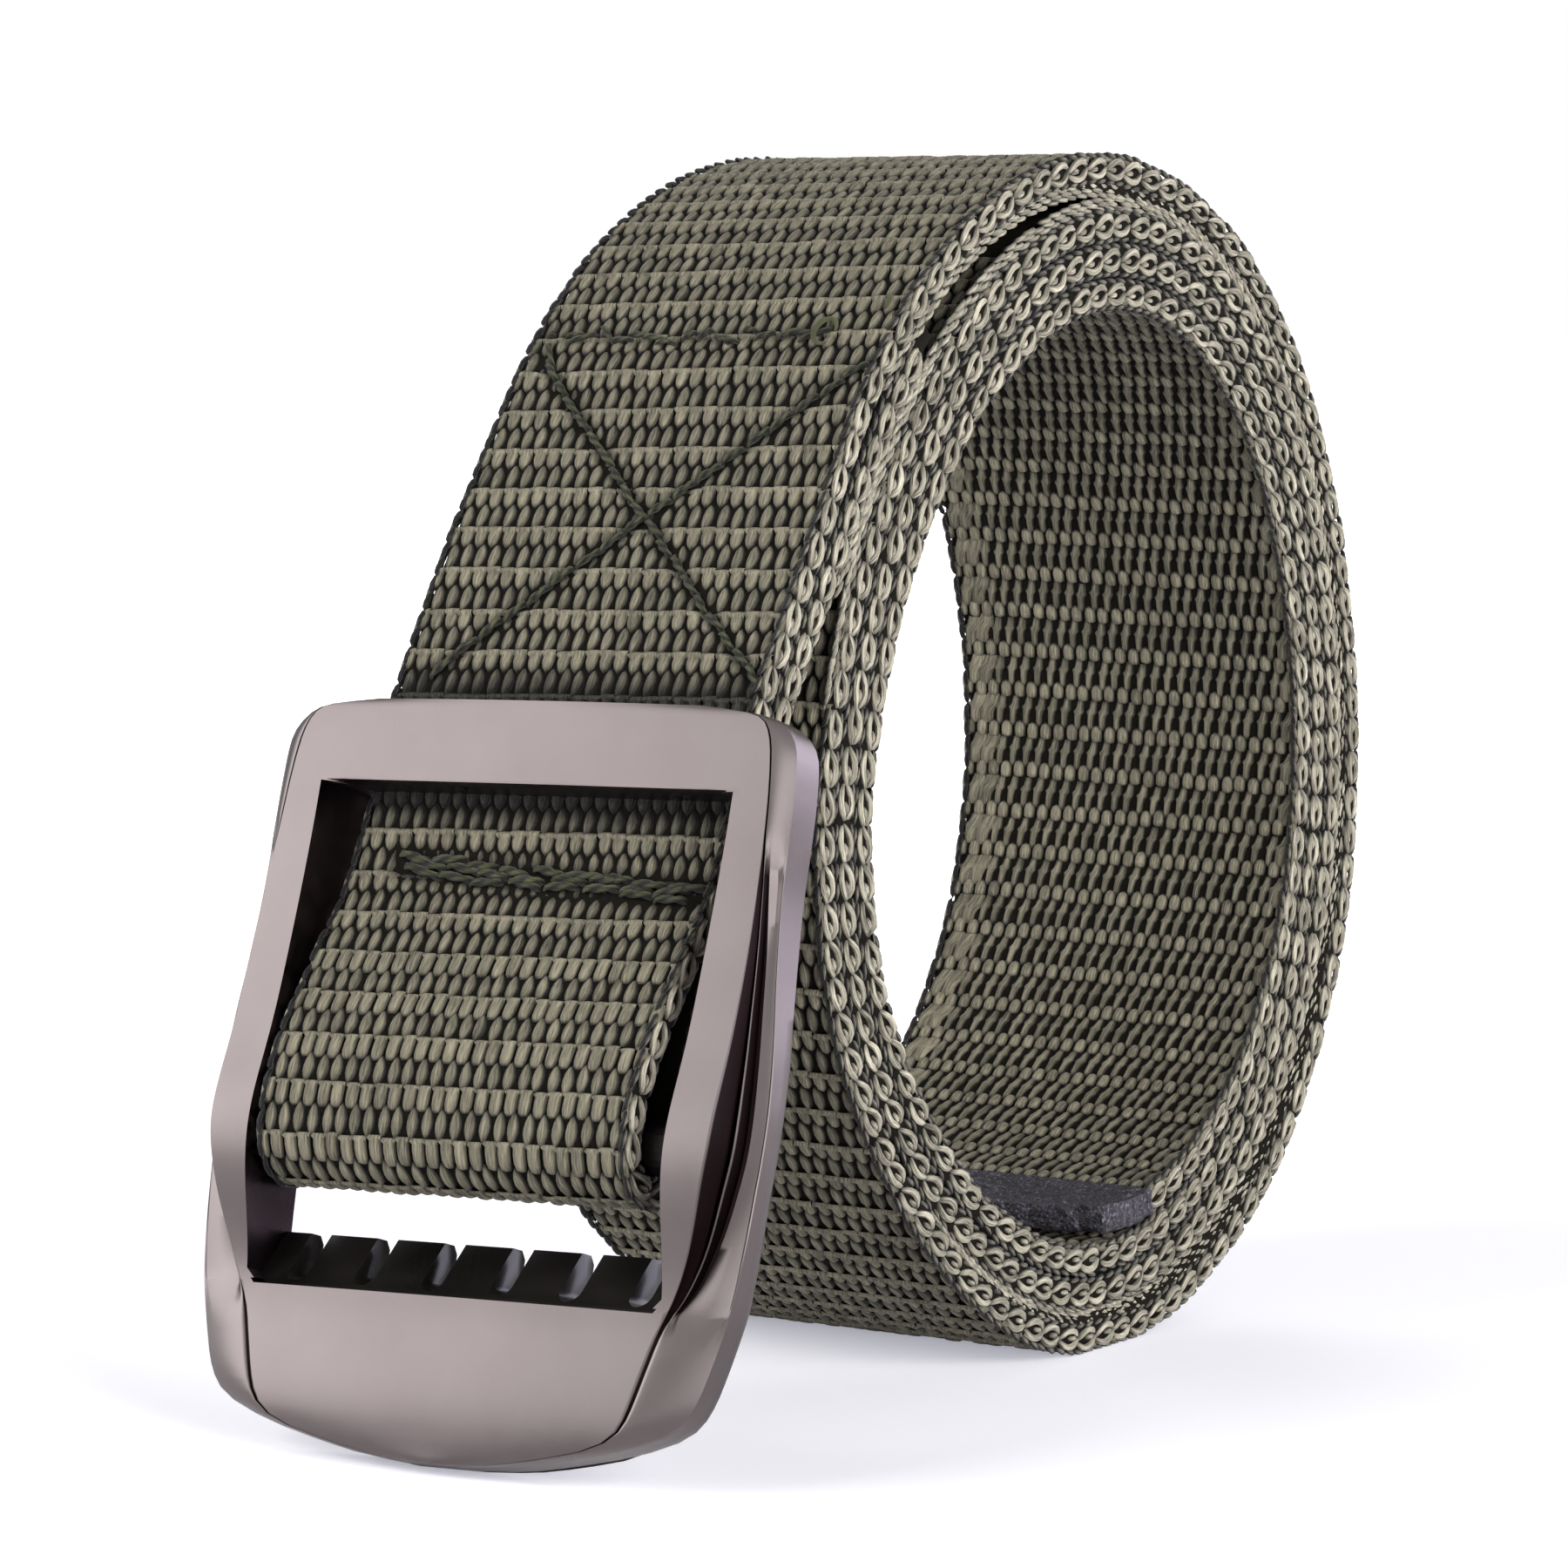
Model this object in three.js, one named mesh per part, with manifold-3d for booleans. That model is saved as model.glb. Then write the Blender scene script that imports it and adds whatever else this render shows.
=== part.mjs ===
// A tactical belt rolled up for storage: one long strap of ribbed webbing wound into a standing coil,
// whose outer end runs forward, passes behind the top bar of a cast buckle, turns round the buckle's
// crossbar and comes back up behind itself as a sewn-down tail.
// Millimetres, +Z up. X runs along the coil's axis, -Y is the front, where the buckle stands.

import * as THREE from 'three';
import { mergeVertices } from 'three/addons/utils/BufferGeometryUtils.js';
import Module from 'manifold-3d';

const wasm = await Module();
wasm.setup();

// Webbing
const webWidth = 38;
const webThickness = 2.8;
const layerGap = 0.32;
const selvedgeRound = 0.7;
const sealLength = 9;
const jointGap = 0.3;

// Coil
const eyeRadius = 39;
const innerEndTurn = 0.01;
const leavingTurn = 3.63;
const restFlattening = 0.3;
const stepsPerTurn = 48;
const restingStep = 0.9;
const leadSteps = 24;
const loopSteps = 12;

// Buckle
const frameHeight = 65.2;
const frameHalfWidth = 27.85;
const windowWidth = 42;
const windowHeight = 44.1;
const lowerPlateHeight = 13.9;
const frameDepth = 5.4;
const topBarDepth = 3.5;
const faceBulge = 3.5;
const wingDepth = 1.3;
const windowCornerCut = 1.2;
const buckleLean = THREE.MathUtils.degToRad(16.62);
const buckleTurn = THREE.MathUtils.degToRad(2.1);
const buckleSideShift = 1.1;
const buckleStandOff = 24.1;

// Crossbar and the strap's loop round it
const crossbarDiameter = 4.6;
const crossbarDrop = 8;
const crossbarDepth = 1.8;
const crossbarSocket = 2.4;
const barClearance = 0.3;

// Comb on the window's lower edge
const combPitch = 6.95;
const combNotches = 6;
const combNotchWidth = 2.1;
const combHeight = 5.1;
const combReach = 6.6;
const combLip = 0.9;

// Reach of the coil's eye from its centre, growth of the spiral left out: turn 0 points down,
// a quarter turn points back, and reach is a share of eyeRadius.
const eyeSections = [
  { turn: 0, reach: 1.028 },
  { turn: 0.0625, reach: 1.044 },
  { turn: 0.125, reach: 1.045 },
  { turn: 0.1875, reach: 1.013 },
  { turn: 0.25, reach: 0.985 },
  { turn: 0.3125, reach: 0.987 },
  { turn: 0.375, reach: 1.030 },
  { turn: 0.4375, reach: 1.070 },
  { turn: 0.5, reach: 1.060 },
  { turn: 0.5625, reach: 1.005 },
  { turn: 0.625, reach: 0.950 },
  { turn: 0.6875, reach: 0.925 },
  { turn: 0.75, reach: 0.942 },
  { turn: 0.8125, reach: 0.950 },
  { turn: 0.875, reach: 0.945 },
  { turn: 0.9375, reach: 0.975 },
];

// Slack that lifts the last turn off the others, as a share of webThickness. From the sewn tail's end
// on it also makes room for the tail.
const slackSections = [
  { turn: 2.9, slack: 0 },
  { turn: 3.0, slack: 0.4 },
  { turn: 3.1, slack: 0.64 },
  { turn: 3.2, slack: 0.55 },
  { turn: 3.3, slack: 0.25 },
  { turn: 3.4, slack: 0.12 },
  { turn: 3.46, slack: 0.25 },
  { turn: 3.5, slack: 0.6 },
  { turn: 3.54, slack: 0.98 },
  { turn: 3.58, slack: 1.32 },
  { turn: 3.63, slack: 1.55 },
  { turn: 3.7, slack: 2.2 },
];
const tailEndTurn = 3.6;

// Outer face of the strap between coil and crossbar, seen from the side in the buckle's own frame:
// rise from the window's centre as a share of windowHeight, depth behind the face as a share of frameDepth.
const leadSections = [
  { rise: 1.01, depth: 1.63 },
  { rise: 0.86, depth: 1.28 },
  { rise: 0.73, depth: 0.98 },
  { rise: 0.6, depth: 0.84 },
  { rise: 0.48, depth: 0.78 },
  { rise: 0.36, depth: 0.63 },
  { rise: 0.27, depth: 0.45 },
  { rise: 0.19, depth: 0.15 },
  { rise: 0.09, depth: -0.19 },
  { rise: 0, depth: -0.48 },
  { rise: -0.09, depth: -0.64 },
];
const seamRise = 0.33;

// Front view of the frame, from its lower edge up. side is the half width at the outer edge and seam the
// half width of the raised middle face, as shares of frameHalfWidth; bulge is how far the middle face
// stands forward, as a share of faceBulge; groove is the hollow beside it, as a share of wingDepth;
// wall is the depth of the outer wall, as a share of frameDepth.
const frameSections = [
  { rise: 0, side: 0.11, seam: 0.08, bulge: -0.25, groove: 0, wall: 0.5 },
  { rise: 0.006, side: 0.27, seam: 0.22, bulge: -0.12, groove: 0, wall: 0.55 },
  { rise: 0.018, side: 0.43, seam: 0.38, bulge: 0, groove: 0, wall: 0.58 },
  { rise: 0.034, side: 0.6, seam: 0.54, bulge: 0.06, groove: 0.02, wall: 0.6 },
  { rise: 0.05, side: 0.72, seam: 0.62, bulge: 0.09, groove: 0.05, wall: 0.62 },
  { rise: 0.063, side: 0.79, seam: 0.65, bulge: 0.11, groove: 0.08, wall: 0.63 },
  { rise: 0.08, side: 0.845, seam: 0.67, bulge: 0.12, groove: 0.1, wall: 0.64 },
  { rise: 0.108, side: 0.885, seam: 0.69, bulge: 0.12, groove: 0.12, wall: 0.65 },
  { rise: 0.14, side: 0.91, seam: 0.71, bulge: 0.11, groove: 0.15, wall: 0.66 },
  { rise: 0.184, side: 0.938, seam: 0.74, bulge: 0.06, groove: 0.3, wall: 0.64 },
  { rise: 0.225, side: 0.96, seam: 0.785, bulge: 0.05, groove: 0.5, wall: 0.62 },
  { rise: 0.276, side: 0.975, seam: 0.83, bulge: 0.3, groove: 0.8, wall: 0.58 },
  { rise: 0.325, side: 0.985, seam: 0.862, bulge: 0.62, groove: 1.05, wall: 0.53 },
  { rise: 0.376, side: 0.992, seam: 0.885, bulge: 0.9, groove: 1.2, wall: 0.5 },
  { rise: 0.42, side: 0.998, seam: 0.898, bulge: 1, groove: 1.25, wall: 0.5 },
  { rise: 0.475, side: 1, seam: 0.9, bulge: 0.86, groove: 1.2, wall: 0.52 },
  { rise: 0.52, side: 0.995, seam: 0.9, bulge: 0.66, groove: 1.0, wall: 0.57 },
  { rise: 0.567, side: 0.986, seam: 0.9, bulge: 0.5, groove: 0.7, wall: 0.64 },
  { rise: 0.66, side: 0.962, seam: 0.899, bulge: 0.3, groove: 0.3, wall: 0.76 },
  { rise: 0.752, side: 0.945, seam: 0.892, bulge: 0.14, groove: 0.1, wall: 0.84 },
  { rise: 0.83, side: 0.942, seam: 0.882, bulge: 0.04, groove: 0.05, wall: 0.88 },
  { rise: 0.89, side: 0.938, seam: 0.872, bulge: 0, groove: 0.02, wall: 0.9 },
  { rise: 0.945, side: 0.926, seam: 0.855, bulge: -0.01, groove: 0, wall: 0.88 },
  { rise: 0.966, side: 0.902, seam: 0.84, bulge: -0.03, groove: 0, wall: 0.84 },
  { rise: 0.982, side: 0.86, seam: 0.815, bulge: -0.06, groove: 0, wall: 0.78 },
  { rise: 0.992, side: 0.79, seam: 0.755, bulge: -0.1, groove: 0, wall: 0.72 },
  { rise: 1, side: 0.62, seam: 0.59, bulge: -0.18, groove: 0, wall: 0.66 },
];

const layerPitch = webThickness + layerGap;
const halfWeb = webThickness / 2;
const halfWindow = windowHeight / 2;
const lowerReach = halfWindow + lowerPlateHeight;

const webbing = new THREE.MeshStandardMaterial({ color: 0x77735e, roughness: 0.95, metalness: 0 });
const sealed = new THREE.MeshStandardMaterial({ color: 0x3b3940, roughness: 0.8, metalness: 0 });
const gunmetal = new THREE.MeshStandardMaterial({ color: 0x8d8185, roughness: 0.32, metalness: 0.9 });
const blackened = new THREE.MeshStandardMaterial({ color: 0x1c1a1b, roughness: 0.3, metalness: 0.8 });

// Reads a column of a table at a place between its rows, on a smooth curve through them.
function readTable(rows, key, place, column) {
  const last = rows.length - 1;
  const rising = rows[last][key] > rows[0][key];
  let index = 0;
  while (index < last - 1 && (rising ? place > rows[index + 1][key] : place < rows[index + 1][key])) {
    index += 1;
  }
  const rowAt = (i) => rows[Math.min(Math.max(i, 0), last)];
  const slope = (i) => {
    const run = rowAt(i + 1)[key] - rowAt(i - 1)[key];
    return run === 0 ? 0 : (rowAt(i + 1)[column] - rowAt(i - 1)[column]) / run;
  };
  const run = rows[index + 1][key] - rows[index][key];
  const u = THREE.MathUtils.clamp((place - rows[index][key]) / run, 0, 1);
  const start = (1 + 2 * u) * (1 - u) ** 2 * rows[index][column] + u * (1 - u) ** 2 * run * slope(index);
  const end = u * u * (3 - 2 * u) * rows[index + 1][column] + u * u * (u - 1) * run * slope(index + 1);
  return start + end;
}

// The eye's table repeats every turn.
const eyeRing = [
  { turn: eyeSections.at(-1).turn - 1, reach: eyeSections.at(-1).reach },
  ...eyeSections,
  { turn: 1, reach: eyeSections[0].reach },
  { turn: 1 + eyeSections[1].turn, reach: eyeSections[1].reach },
];

function eyeReach(turn) {
  return readTable(eyeRing, 'turn', turn - Math.floor(turn), 'reach') * eyeRadius;
}

function slackAt(turn) {
  return turn < slackSections[0].turn ? 0 : readTable(slackSections, 'turn', turn, 'slack') * webThickness;
}

function coilRadius(turn) {
  return eyeReach(turn) + layerPitch * turn + halfWeb + slackAt(turn);
}

// Closes a stack of rings of equal point counts into one skin with flat ends.
function skin(rings, capFlat) {
  const count = rings[0].length;
  const positions = rings.flat().flatMap((p) => [p.x, p.y, p.z]);
  const index = [];
  for (let ring = 0; ring < rings.length - 1; ring += 1) {
    for (let side = 0; side < count; side += 1) {
      const next = (side + 1) % count;
      const a = ring * count + side;
      const b = ring * count + next;
      index.push(a, b, b + count);
      index.push(a, b + count, a + count);
    }
  }
  for (const ring of [0, rings.length - 1]) {
    const flat = rings[ring].map((point, i) => new THREE.Vector2(...capFlat(point, i)));
    const reversed = (ring === 0) !== THREE.ShapeUtils.isClockWise(flat);
    for (const face of THREE.ShapeUtils.triangulateShape(flat, [])) {
      const corners = face.map((corner) => ring * count + corner);
      index.push(...(reversed ? corners.reverse() : corners));
    }
  }
  const geometry = new THREE.BufferGeometry();
  geometry.setAttribute('position', new THREE.Float32BufferAttribute(positions, 3));
  geometry.setIndex(index);
  return geometry;
}

function toSolid(geometry) {
  const bare = geometry.clone();
  bare.deleteAttribute('normal');
  bare.deleteAttribute('uv');
  const merged = mergeVertices(bare, 1e-4);
  const vertProperties = new Float32Array(merged.attributes.position.array);
  const triVerts = new Uint32Array(merged.index.array);
  return new wasm.Manifold(new wasm.Mesh({ numProp: 3, vertProperties, triVerts }));
}

function fromSolid(solid) {
  const mesh = solid.getMesh();
  const geometry = new THREE.BufferGeometry();
  geometry.setAttribute('position', new THREE.Float32BufferAttribute(Array.from(mesh.vertProperties), 3));
  geometry.setIndex(Array.from(mesh.triVerts));
  return geometry;
}

function turnedOut(geometry) {
  const position = geometry.attributes.position;
  const index = geometry.index.array;
  const [a, b, c] = [new THREE.Vector3(), new THREE.Vector3(), new THREE.Vector3()];
  let volume = 0;
  for (let i = 0; i < index.length; i += 3) {
    a.fromBufferAttribute(position, index[i]);
    b.fromBufferAttribute(position, index[i + 1]);
    c.fromBufferAttribute(position, index[i + 2]);
    volume += a.dot(b.cross(c));
  }
  return volume < 0 ? geometry.setIndex(Array.from(index).reverse()) : geometry;
}

// The buckle is built upright in its own frame: x across, y into its depth, z up, origin in the middle of
// its window on the plane of its face.

// One level of the frame as a closed outline: middle face, groove, outer wall and back, both sides.
function frameLevel(row) {
  const side = row.side * frameHalfWidth;
  const seam = row.seam * frameHalfWidth;
  const face = -row.bulge * faceBulge;
  const groove = face + (wingDepth - face) * 0.5 + row.groove * wingDepth;
  const backCorner = wingDepth + row.wall * (frameDepth - wingDepth);
  const backInset = Math.min(1.6, side * 0.2);
  const right = [
    [seam, face],
    [seam + (side - seam) * 0.35, groove],
    [side - (side - seam) * 0.18, Math.max(wingDepth - 0.35, face + 0.1)],
    [side, wingDepth],
    [side, backCorner],
    [side - backInset, Math.min(backCorner + backInset, frameDepth)],
  ];
  const left = right.map(([x, y]) => [-x, y]).reverse();
  const z = -lowerReach + row.rise * frameHeight;
  return [...right, ...left].map(([x, y]) => new THREE.Vector3(x, y, z));
}

// A prism along z from an outline in x and y.
function uprightPrism(outline, from, to) {
  const ringAt = (z) => outline.map(([x, y]) => new THREE.Vector3(x, y, z));
  return turnedOut(skin([ringAt(from), ringAt(to)], (p) => [p.x, p.y]));
}

// A prism along x from an outline in y and z.
function crosswisePrism(outline, from, to) {
  const ringAt = (x) => outline.map(([y, z]) => new THREE.Vector3(x, y, z));
  return turnedOut(skin([ringAt(from), ringAt(to)], (p) => [p.y, p.z]));
}

// A prism along y from an outline in x and z.
function deepPrism(outline, from, to) {
  const ringAt = (y) => outline.map(([x, z]) => new THREE.Vector3(x, y, z));
  return turnedOut(skin([ringAt(from), ringAt(to)], (p) => [p.x, p.z]));
}

function windowPrism() {
  const halfWidth = windowWidth / 2;
  const cut = windowCornerCut;
  const outline = [
    [-halfWidth + cut, -halfWindow],
    [halfWidth - cut, -halfWindow],
    [halfWidth, -halfWindow + cut],
    [halfWidth, halfWindow],
    [-halfWidth, halfWindow],
    [-halfWidth, -halfWindow + cut],
  ];
  return deepPrism(outline, -2 * faceBulge, 2 * frameDepth);
}

// The room behind the top bar through which the strap comes down.
function strapChannel() {
  const halfWidth = windowWidth / 2;
  const outline = [
    [-halfWidth, topBarDepth],
    [halfWidth, topBarDepth],
    [halfWidth, 2 * frameDepth],
    [-halfWidth, 2 * frameDepth],
  ];
  return uprightPrism(outline, 0, frameHeight);
}

function combPrism() {
  const foot = -halfWindow;
  const outline = [
    [combLip, foot - 1],
    [combLip, foot],
    [combReach - 2, foot + combHeight],
    [combReach - 0.6, foot + combHeight],
    [combReach, foot + combHeight - 0.7],
    [combReach, foot + 1],
    [frameDepth, foot - 2],
  ];
  const halfLength = windowWidth / 2 + 0.4;
  return crosswisePrism(outline, -halfLength, halfLength);
}

function combNotch(middle) {
  const radius = combNotchWidth / 2;
  const low = -halfWindow + radius + 0.6;
  const high = -halfWindow + combHeight + 1;
  const outline = [[middle + radius, high], [middle - radius, high]];
  for (let step = 0; step <= 6; step += 1) {
    const angle = Math.PI + (step / 6) * Math.PI;
    outline.push([middle + radius * Math.cos(angle), low + radius * Math.sin(angle)]);
  }
  return deepPrism(outline, combLip - 0.1, 2 * frameDepth);
}

function crossbarCylinder(diameter, length) {
  const cylinder = new THREE.CylinderGeometry(diameter / 2, diameter / 2, length, 20);
  cylinder.rotateZ(Math.PI / 2);
  cylinder.translate(0, crossbarDepth, -crossbarDrop);
  return cylinder;
}

function buckleFrameGeometry() {
  const body = toSolid(turnedOut(skin(frameSections.map(frameLevel), (p) => [p.x, p.y])));
  const socketSpan = windowWidth + 2 * crossbarSocket;
  let frame = body.subtract(toSolid(windowPrism())).subtract(toSolid(strapChannel()));
  frame = frame.add(toSolid(combPrism()));
  for (let notch = 0; notch < combNotches; notch += 1) {
    const middle = (notch - (combNotches - 1) / 2) * combPitch;
    frame = frame.subtract(toSolid(combNotch(middle)));
  }
  frame = frame.subtract(toSolid(crossbarCylinder(crossbarDiameter + 2 * barClearance, socketSpan)));
  return fromSolid(frame);
}

function crossbarGeometry() {
  const length = windowWidth + 2 * crossbarSocket - 2 * jointGap;
  return crossbarCylinder(crossbarDiameter, length);
}

// Standing place of the buckle: leaning back, turned a little in its own plane, its lower edge on the
// floor, ahead of the coil's front.
const buckleTilt = new THREE.Euler(-buckleLean, -buckleTurn, 0);
const frameGeometry = buckleFrameGeometry();

function lowestPoint(geometry) {
  const point = new THREE.Vector3();
  let lowest = Infinity;
  for (let i = 0; i < geometry.attributes.position.count; i += 1) {
    point.fromBufferAttribute(geometry.attributes.position, i).applyEuler(buckleTilt);
    lowest = Math.min(lowest, point.z);
  }
  return lowest;
}

const coilFront = coilRadius(2.75) + halfWeb;
const windowMiddle = new THREE.Vector3(
  webWidth / 2 + buckleSideShift,
  -(coilFront + buckleStandOff),
  -lowestPoint(frameGeometry),
);

// Height of the coil's centre, so that its outer turn is pressed flat on the floor.
function coilCentreHeight() {
  let deepest = 0;
  for (let turn = innerEndTurn; turn <= leavingTurn; turn += 1 / stepsPerTurn) {
    deepest = Math.max(deepest, (coilRadius(turn) + halfWeb) * Math.cos(2 * Math.PI * turn));
  }
  return deepest - restFlattening;
}
const coilHeight = coilCentreHeight();

function coilPoint(turn) {
  const angle = 2 * Math.PI * turn;
  const radius = coilRadius(turn);
  const y = radius * Math.sin(angle);
  const z = Math.max(coilHeight - radius * Math.cos(angle), halfWeb);
  return new THREE.Vector2(y, z);
}

// A point of the buckle's side view, carried to the standing place.
function besideBuckle(rise, depth) {
  const y = windowMiddle.y + rise * Math.sin(buckleLean) + depth * Math.cos(buckleLean);
  const z = windowMiddle.z + rise * Math.cos(buckleLean) - depth * Math.sin(buckleLean);
  return new THREE.Vector2(y, z);
}

function normalsOf(points) {
  return points.map((point, i) => {
    const before = points[Math.max(i - 1, 0)];
    const after = points[Math.min(i + 1, points.length - 1)];
    const along = after.clone().sub(before).normalize();
    return new THREE.Vector2(-along.y, along.x);
  });
}

// Moves each point of a run sideways by its own distance.
function shifted(points, distances) {
  const normals = normalsOf(points);
  return points.map((point, i) => point.clone().addScaledVector(normals[i], distances[i]));
}

// Middle line of the strap over part of the coil. The steps are moved on by restingStep, so that the coil
// rests on a facet and not on an edge between two.
function coilRun(fromTurn, toTurn) {
  const points = [coilPoint(fromTurn)];
  const last = toTurn * stepsPerTurn - 0.3;
  const first = Math.ceil(fromTurn * stepsPerTurn - restingStep + 0.1) + restingStep;
  for (let step = first; step < last; step += 1) {
    points.push(coilPoint(step / stepsPerTurn));
  }
  points.push(coilPoint(toTurn));
  return points;
}

const loopRadius = crossbarDiameter / 2 + barClearance + halfWeb;

// The loop starts in front of the crossbar and turns under it to the back.
function loopPoint(angle) {
  const depth = crossbarDepth - loopRadius * Math.cos(angle);
  const rise = -crossbarDrop - loopRadius * Math.sin(angle);
  return besideBuckle(rise, depth);
}

function loopRun() {
  const points = [];
  for (let step = 1; step < loopSteps; step += 1) {
    points.push(loopPoint((step / loopSteps) * Math.PI));
  }
  return points;
}

// Middle line of the strap from the coil down to the crossbar, on its way past the top bar.
function leadRun() {
  const face = leadSections.map((row) => besideBuckle(row.rise * windowHeight, row.depth * frameDepth));
  const middle = shifted(face, face.map(() => halfWeb));
  const knots = [coilPoint(leavingTurn - 1 / stepsPerTurn), coilPoint(leavingTurn), ...middle, loopPoint(0)];
  const curve = new THREE.SplineCurve(knots);
  const skipped = 1 / (knots.length - 1);
  const points = [];
  for (let step = 1; step <= leadSteps; step += 1) {
    points.push(curve.getPoint(skipped + ((1 - skipped) * step) / leadSteps));
  }
  return points;
}

// Middle line of the doubled-back tail. It closes up behind the lead between crossbar and seam, and from
// there lies one layer inside it, up to its end under the coil's last turn.
function tailRun(lead) {
  const cover = [...coilRun(tailEndTurn, leavingTurn), ...lead].reverse();
  const seamLength = crossbarDrop + seamRise * windowHeight;
  let travelled = 0;
  const distances = cover.map((point, i) => {
    travelled += i === 0 ? 0 : point.distanceTo(cover[i - 1]);
    const open = THREE.MathUtils.clamp(1 - travelled / seamLength, 0, 1);
    return -layerPitch - (2 * loopRadius - layerPitch) * open * open * (3 - 2 * open);
  });
  return shifted(cover, distances);
}

// How far a point of the run has taken up the buckle's turn in its own plane: none in the coil, all of it
// from the top bar down.
function turnShare(point) {
  const rise = (point.x - windowMiddle.y) * Math.sin(buckleLean)
    + (point.y - windowMiddle.z) * Math.cos(buckleLean);
  const free = frameHeight - lowerReach;
  return THREE.MathUtils.clamp((windowHeight - rise) / (windowHeight - free), 0, 1);
}

// Sweeps the webbing's section along a run of its middle line.
function webbingAlong(points, shares) {
  const normals = normalsOf(points);
  const flank = webWidth / 2 - selvedgeRound;
  const cheek = halfWeb - selvedgeRound;
  const section = [
    [-flank, halfWeb],
    [flank, halfWeb],
    [webWidth / 2, cheek],
    [webWidth / 2, -cheek],
    [flank, -halfWeb],
    [-flank, -halfWeb],
    [-webWidth / 2, -cheek],
    [-webWidth / 2, cheek],
  ];
  const rings = points.map((point, i) => section.map(([across, out]) => {
    const x = webWidth / 2 + across;
    const climb = shares[i] * (x - windowMiddle.x) * Math.tan(buckleTurn);
    const y = point.x + normals[i].x * out + climb * Math.sin(buckleLean);
    const z = point.y + normals[i].y * out + climb * Math.cos(buckleLean);
    return new THREE.Vector3(x, y, z);
  }));
  return turnedOut(skin(rings, (point, i) => section[i]));
}

// Turn of the spiral at a length from its inner end.
function turnAtLength(length) {
  const step = 0.05 / stepsPerTurn;
  let turn = innerEndTurn;
  let run = 0;
  while (run < length) {
    run += coilPoint(turn).distanceTo(coilPoint(turn + step));
    turn += step;
  }
  return turn;
}

function strapGeometry() {
  const lead = leadRun();
  const coil = coilRun(turnAtLength(sealLength + jointGap), leavingTurn);
  const free = [...lead, ...loopRun(), ...tailRun(lead)];
  const shares = [...coil.map(() => 0), ...free.map(turnShare)];
  return webbingAlong([...coil, ...free], shares);
}

function sealGeometry() {
  const run = coilRun(innerEndTurn, turnAtLength(sealLength));
  return webbingAlong(run, run.map(() => 0));
}

function named(name, geometry, material) {
  const mesh = new THREE.Mesh(geometry, material);
  mesh.name = name;
  return mesh;
}

const belt = new THREE.Group();
belt.add(named('webbing_strap', strapGeometry(), webbing));
belt.add(named('tip_seal', sealGeometry(), sealed));

const buckle = new THREE.Group();
buckle.position.copy(windowMiddle);
buckle.rotation.copy(buckleTilt);
buckle.add(named('buckle_frame', frameGeometry, gunmetal));
buckle.add(named('crossbar', crossbarGeometry(), blackened));
belt.add(buckle);

// The origin is on the floor, under the middle of the whole belt.
const bounds = new THREE.Box3().setFromObject(belt, true);
const middle = bounds.getCenter(new THREE.Vector3());
belt.position.set(-middle.x, -middle.y, -bounds.min.z);

export default belt;
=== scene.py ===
import math

import bpy
import numpy as np
from mathutils import Matrix, Vector


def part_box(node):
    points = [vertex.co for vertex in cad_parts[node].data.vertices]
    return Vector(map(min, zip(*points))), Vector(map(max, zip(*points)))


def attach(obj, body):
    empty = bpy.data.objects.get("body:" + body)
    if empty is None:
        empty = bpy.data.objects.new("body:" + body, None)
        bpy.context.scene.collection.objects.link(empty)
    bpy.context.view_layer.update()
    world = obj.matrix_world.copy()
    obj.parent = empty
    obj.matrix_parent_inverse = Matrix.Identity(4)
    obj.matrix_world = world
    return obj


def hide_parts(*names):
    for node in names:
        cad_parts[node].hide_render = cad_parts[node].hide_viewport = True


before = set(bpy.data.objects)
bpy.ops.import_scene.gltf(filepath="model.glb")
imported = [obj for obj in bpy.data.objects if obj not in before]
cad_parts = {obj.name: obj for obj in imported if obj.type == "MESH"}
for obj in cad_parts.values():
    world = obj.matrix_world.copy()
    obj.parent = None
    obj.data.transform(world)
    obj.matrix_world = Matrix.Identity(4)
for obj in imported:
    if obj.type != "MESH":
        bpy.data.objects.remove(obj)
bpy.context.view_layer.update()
mm = 0.001
random = np.random.default_rng(1886)
print("frame loaded")


def deselectAll():
    if bpy.context.object and bpy.context.object.mode != "OBJECT":
        bpy.ops.object.mode_set(mode="OBJECT")
    bpy.ops.object.select_all(action="DESELECT")


def makeActive(obj):
    deselectAll()
    obj.select_set(True)
    bpy.context.view_layer.objects.active = obj


def readPoints(obj):
    flat = np.empty(len(obj.data.vertices) * 3, dtype=np.float32)
    obj.data.vertices.foreach_get("co", flat)
    return flat.reshape(-1, 3).astype(float) / mm


def writePoints(obj, points):
    obj.data.vertices.foreach_set("co", (np.asarray(points) * mm).astype(np.float32).ravel())
    obj.data.update()


def readValue(obj, name):
    values = np.empty(len(obj.data.vertices), dtype=np.float32)
    obj.data.attributes[name].data.foreach_get("value", values)
    return values


def writeValue(obj, name, values):
    layer = obj.data.attributes.get(name) or obj.data.attributes.new(name, "FLOAT", "POINT")
    layer.data.foreach_set("value", np.asarray(values, dtype=np.float32))


def addModifier(obj, kind, **settings):
    modifier = obj.modifiers.new(kind.lower(), kind)
    for key, value in settings.items():
        setattr(modifier, key, value)


def addArray(obj, count, displace):
    addModifier(obj, "ARRAY", count=count, use_relative_offset=False, use_constant_offset=True,
                constant_offset_displace=displace)


def addBevel(obj, width, angle):
    # rounds the edges that turn by more than the angle in degrees
    addModifier(obj, "BEVEL", width=width * mm, segments=2, limit_method="ANGLE", angle_limit=math.radians(angle))


def applyModifiers(obj):
    makeActive(obj)
    for modifier in list(obj.modifiers):
        bpy.ops.object.modifier_apply(modifier=modifier.name)


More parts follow.
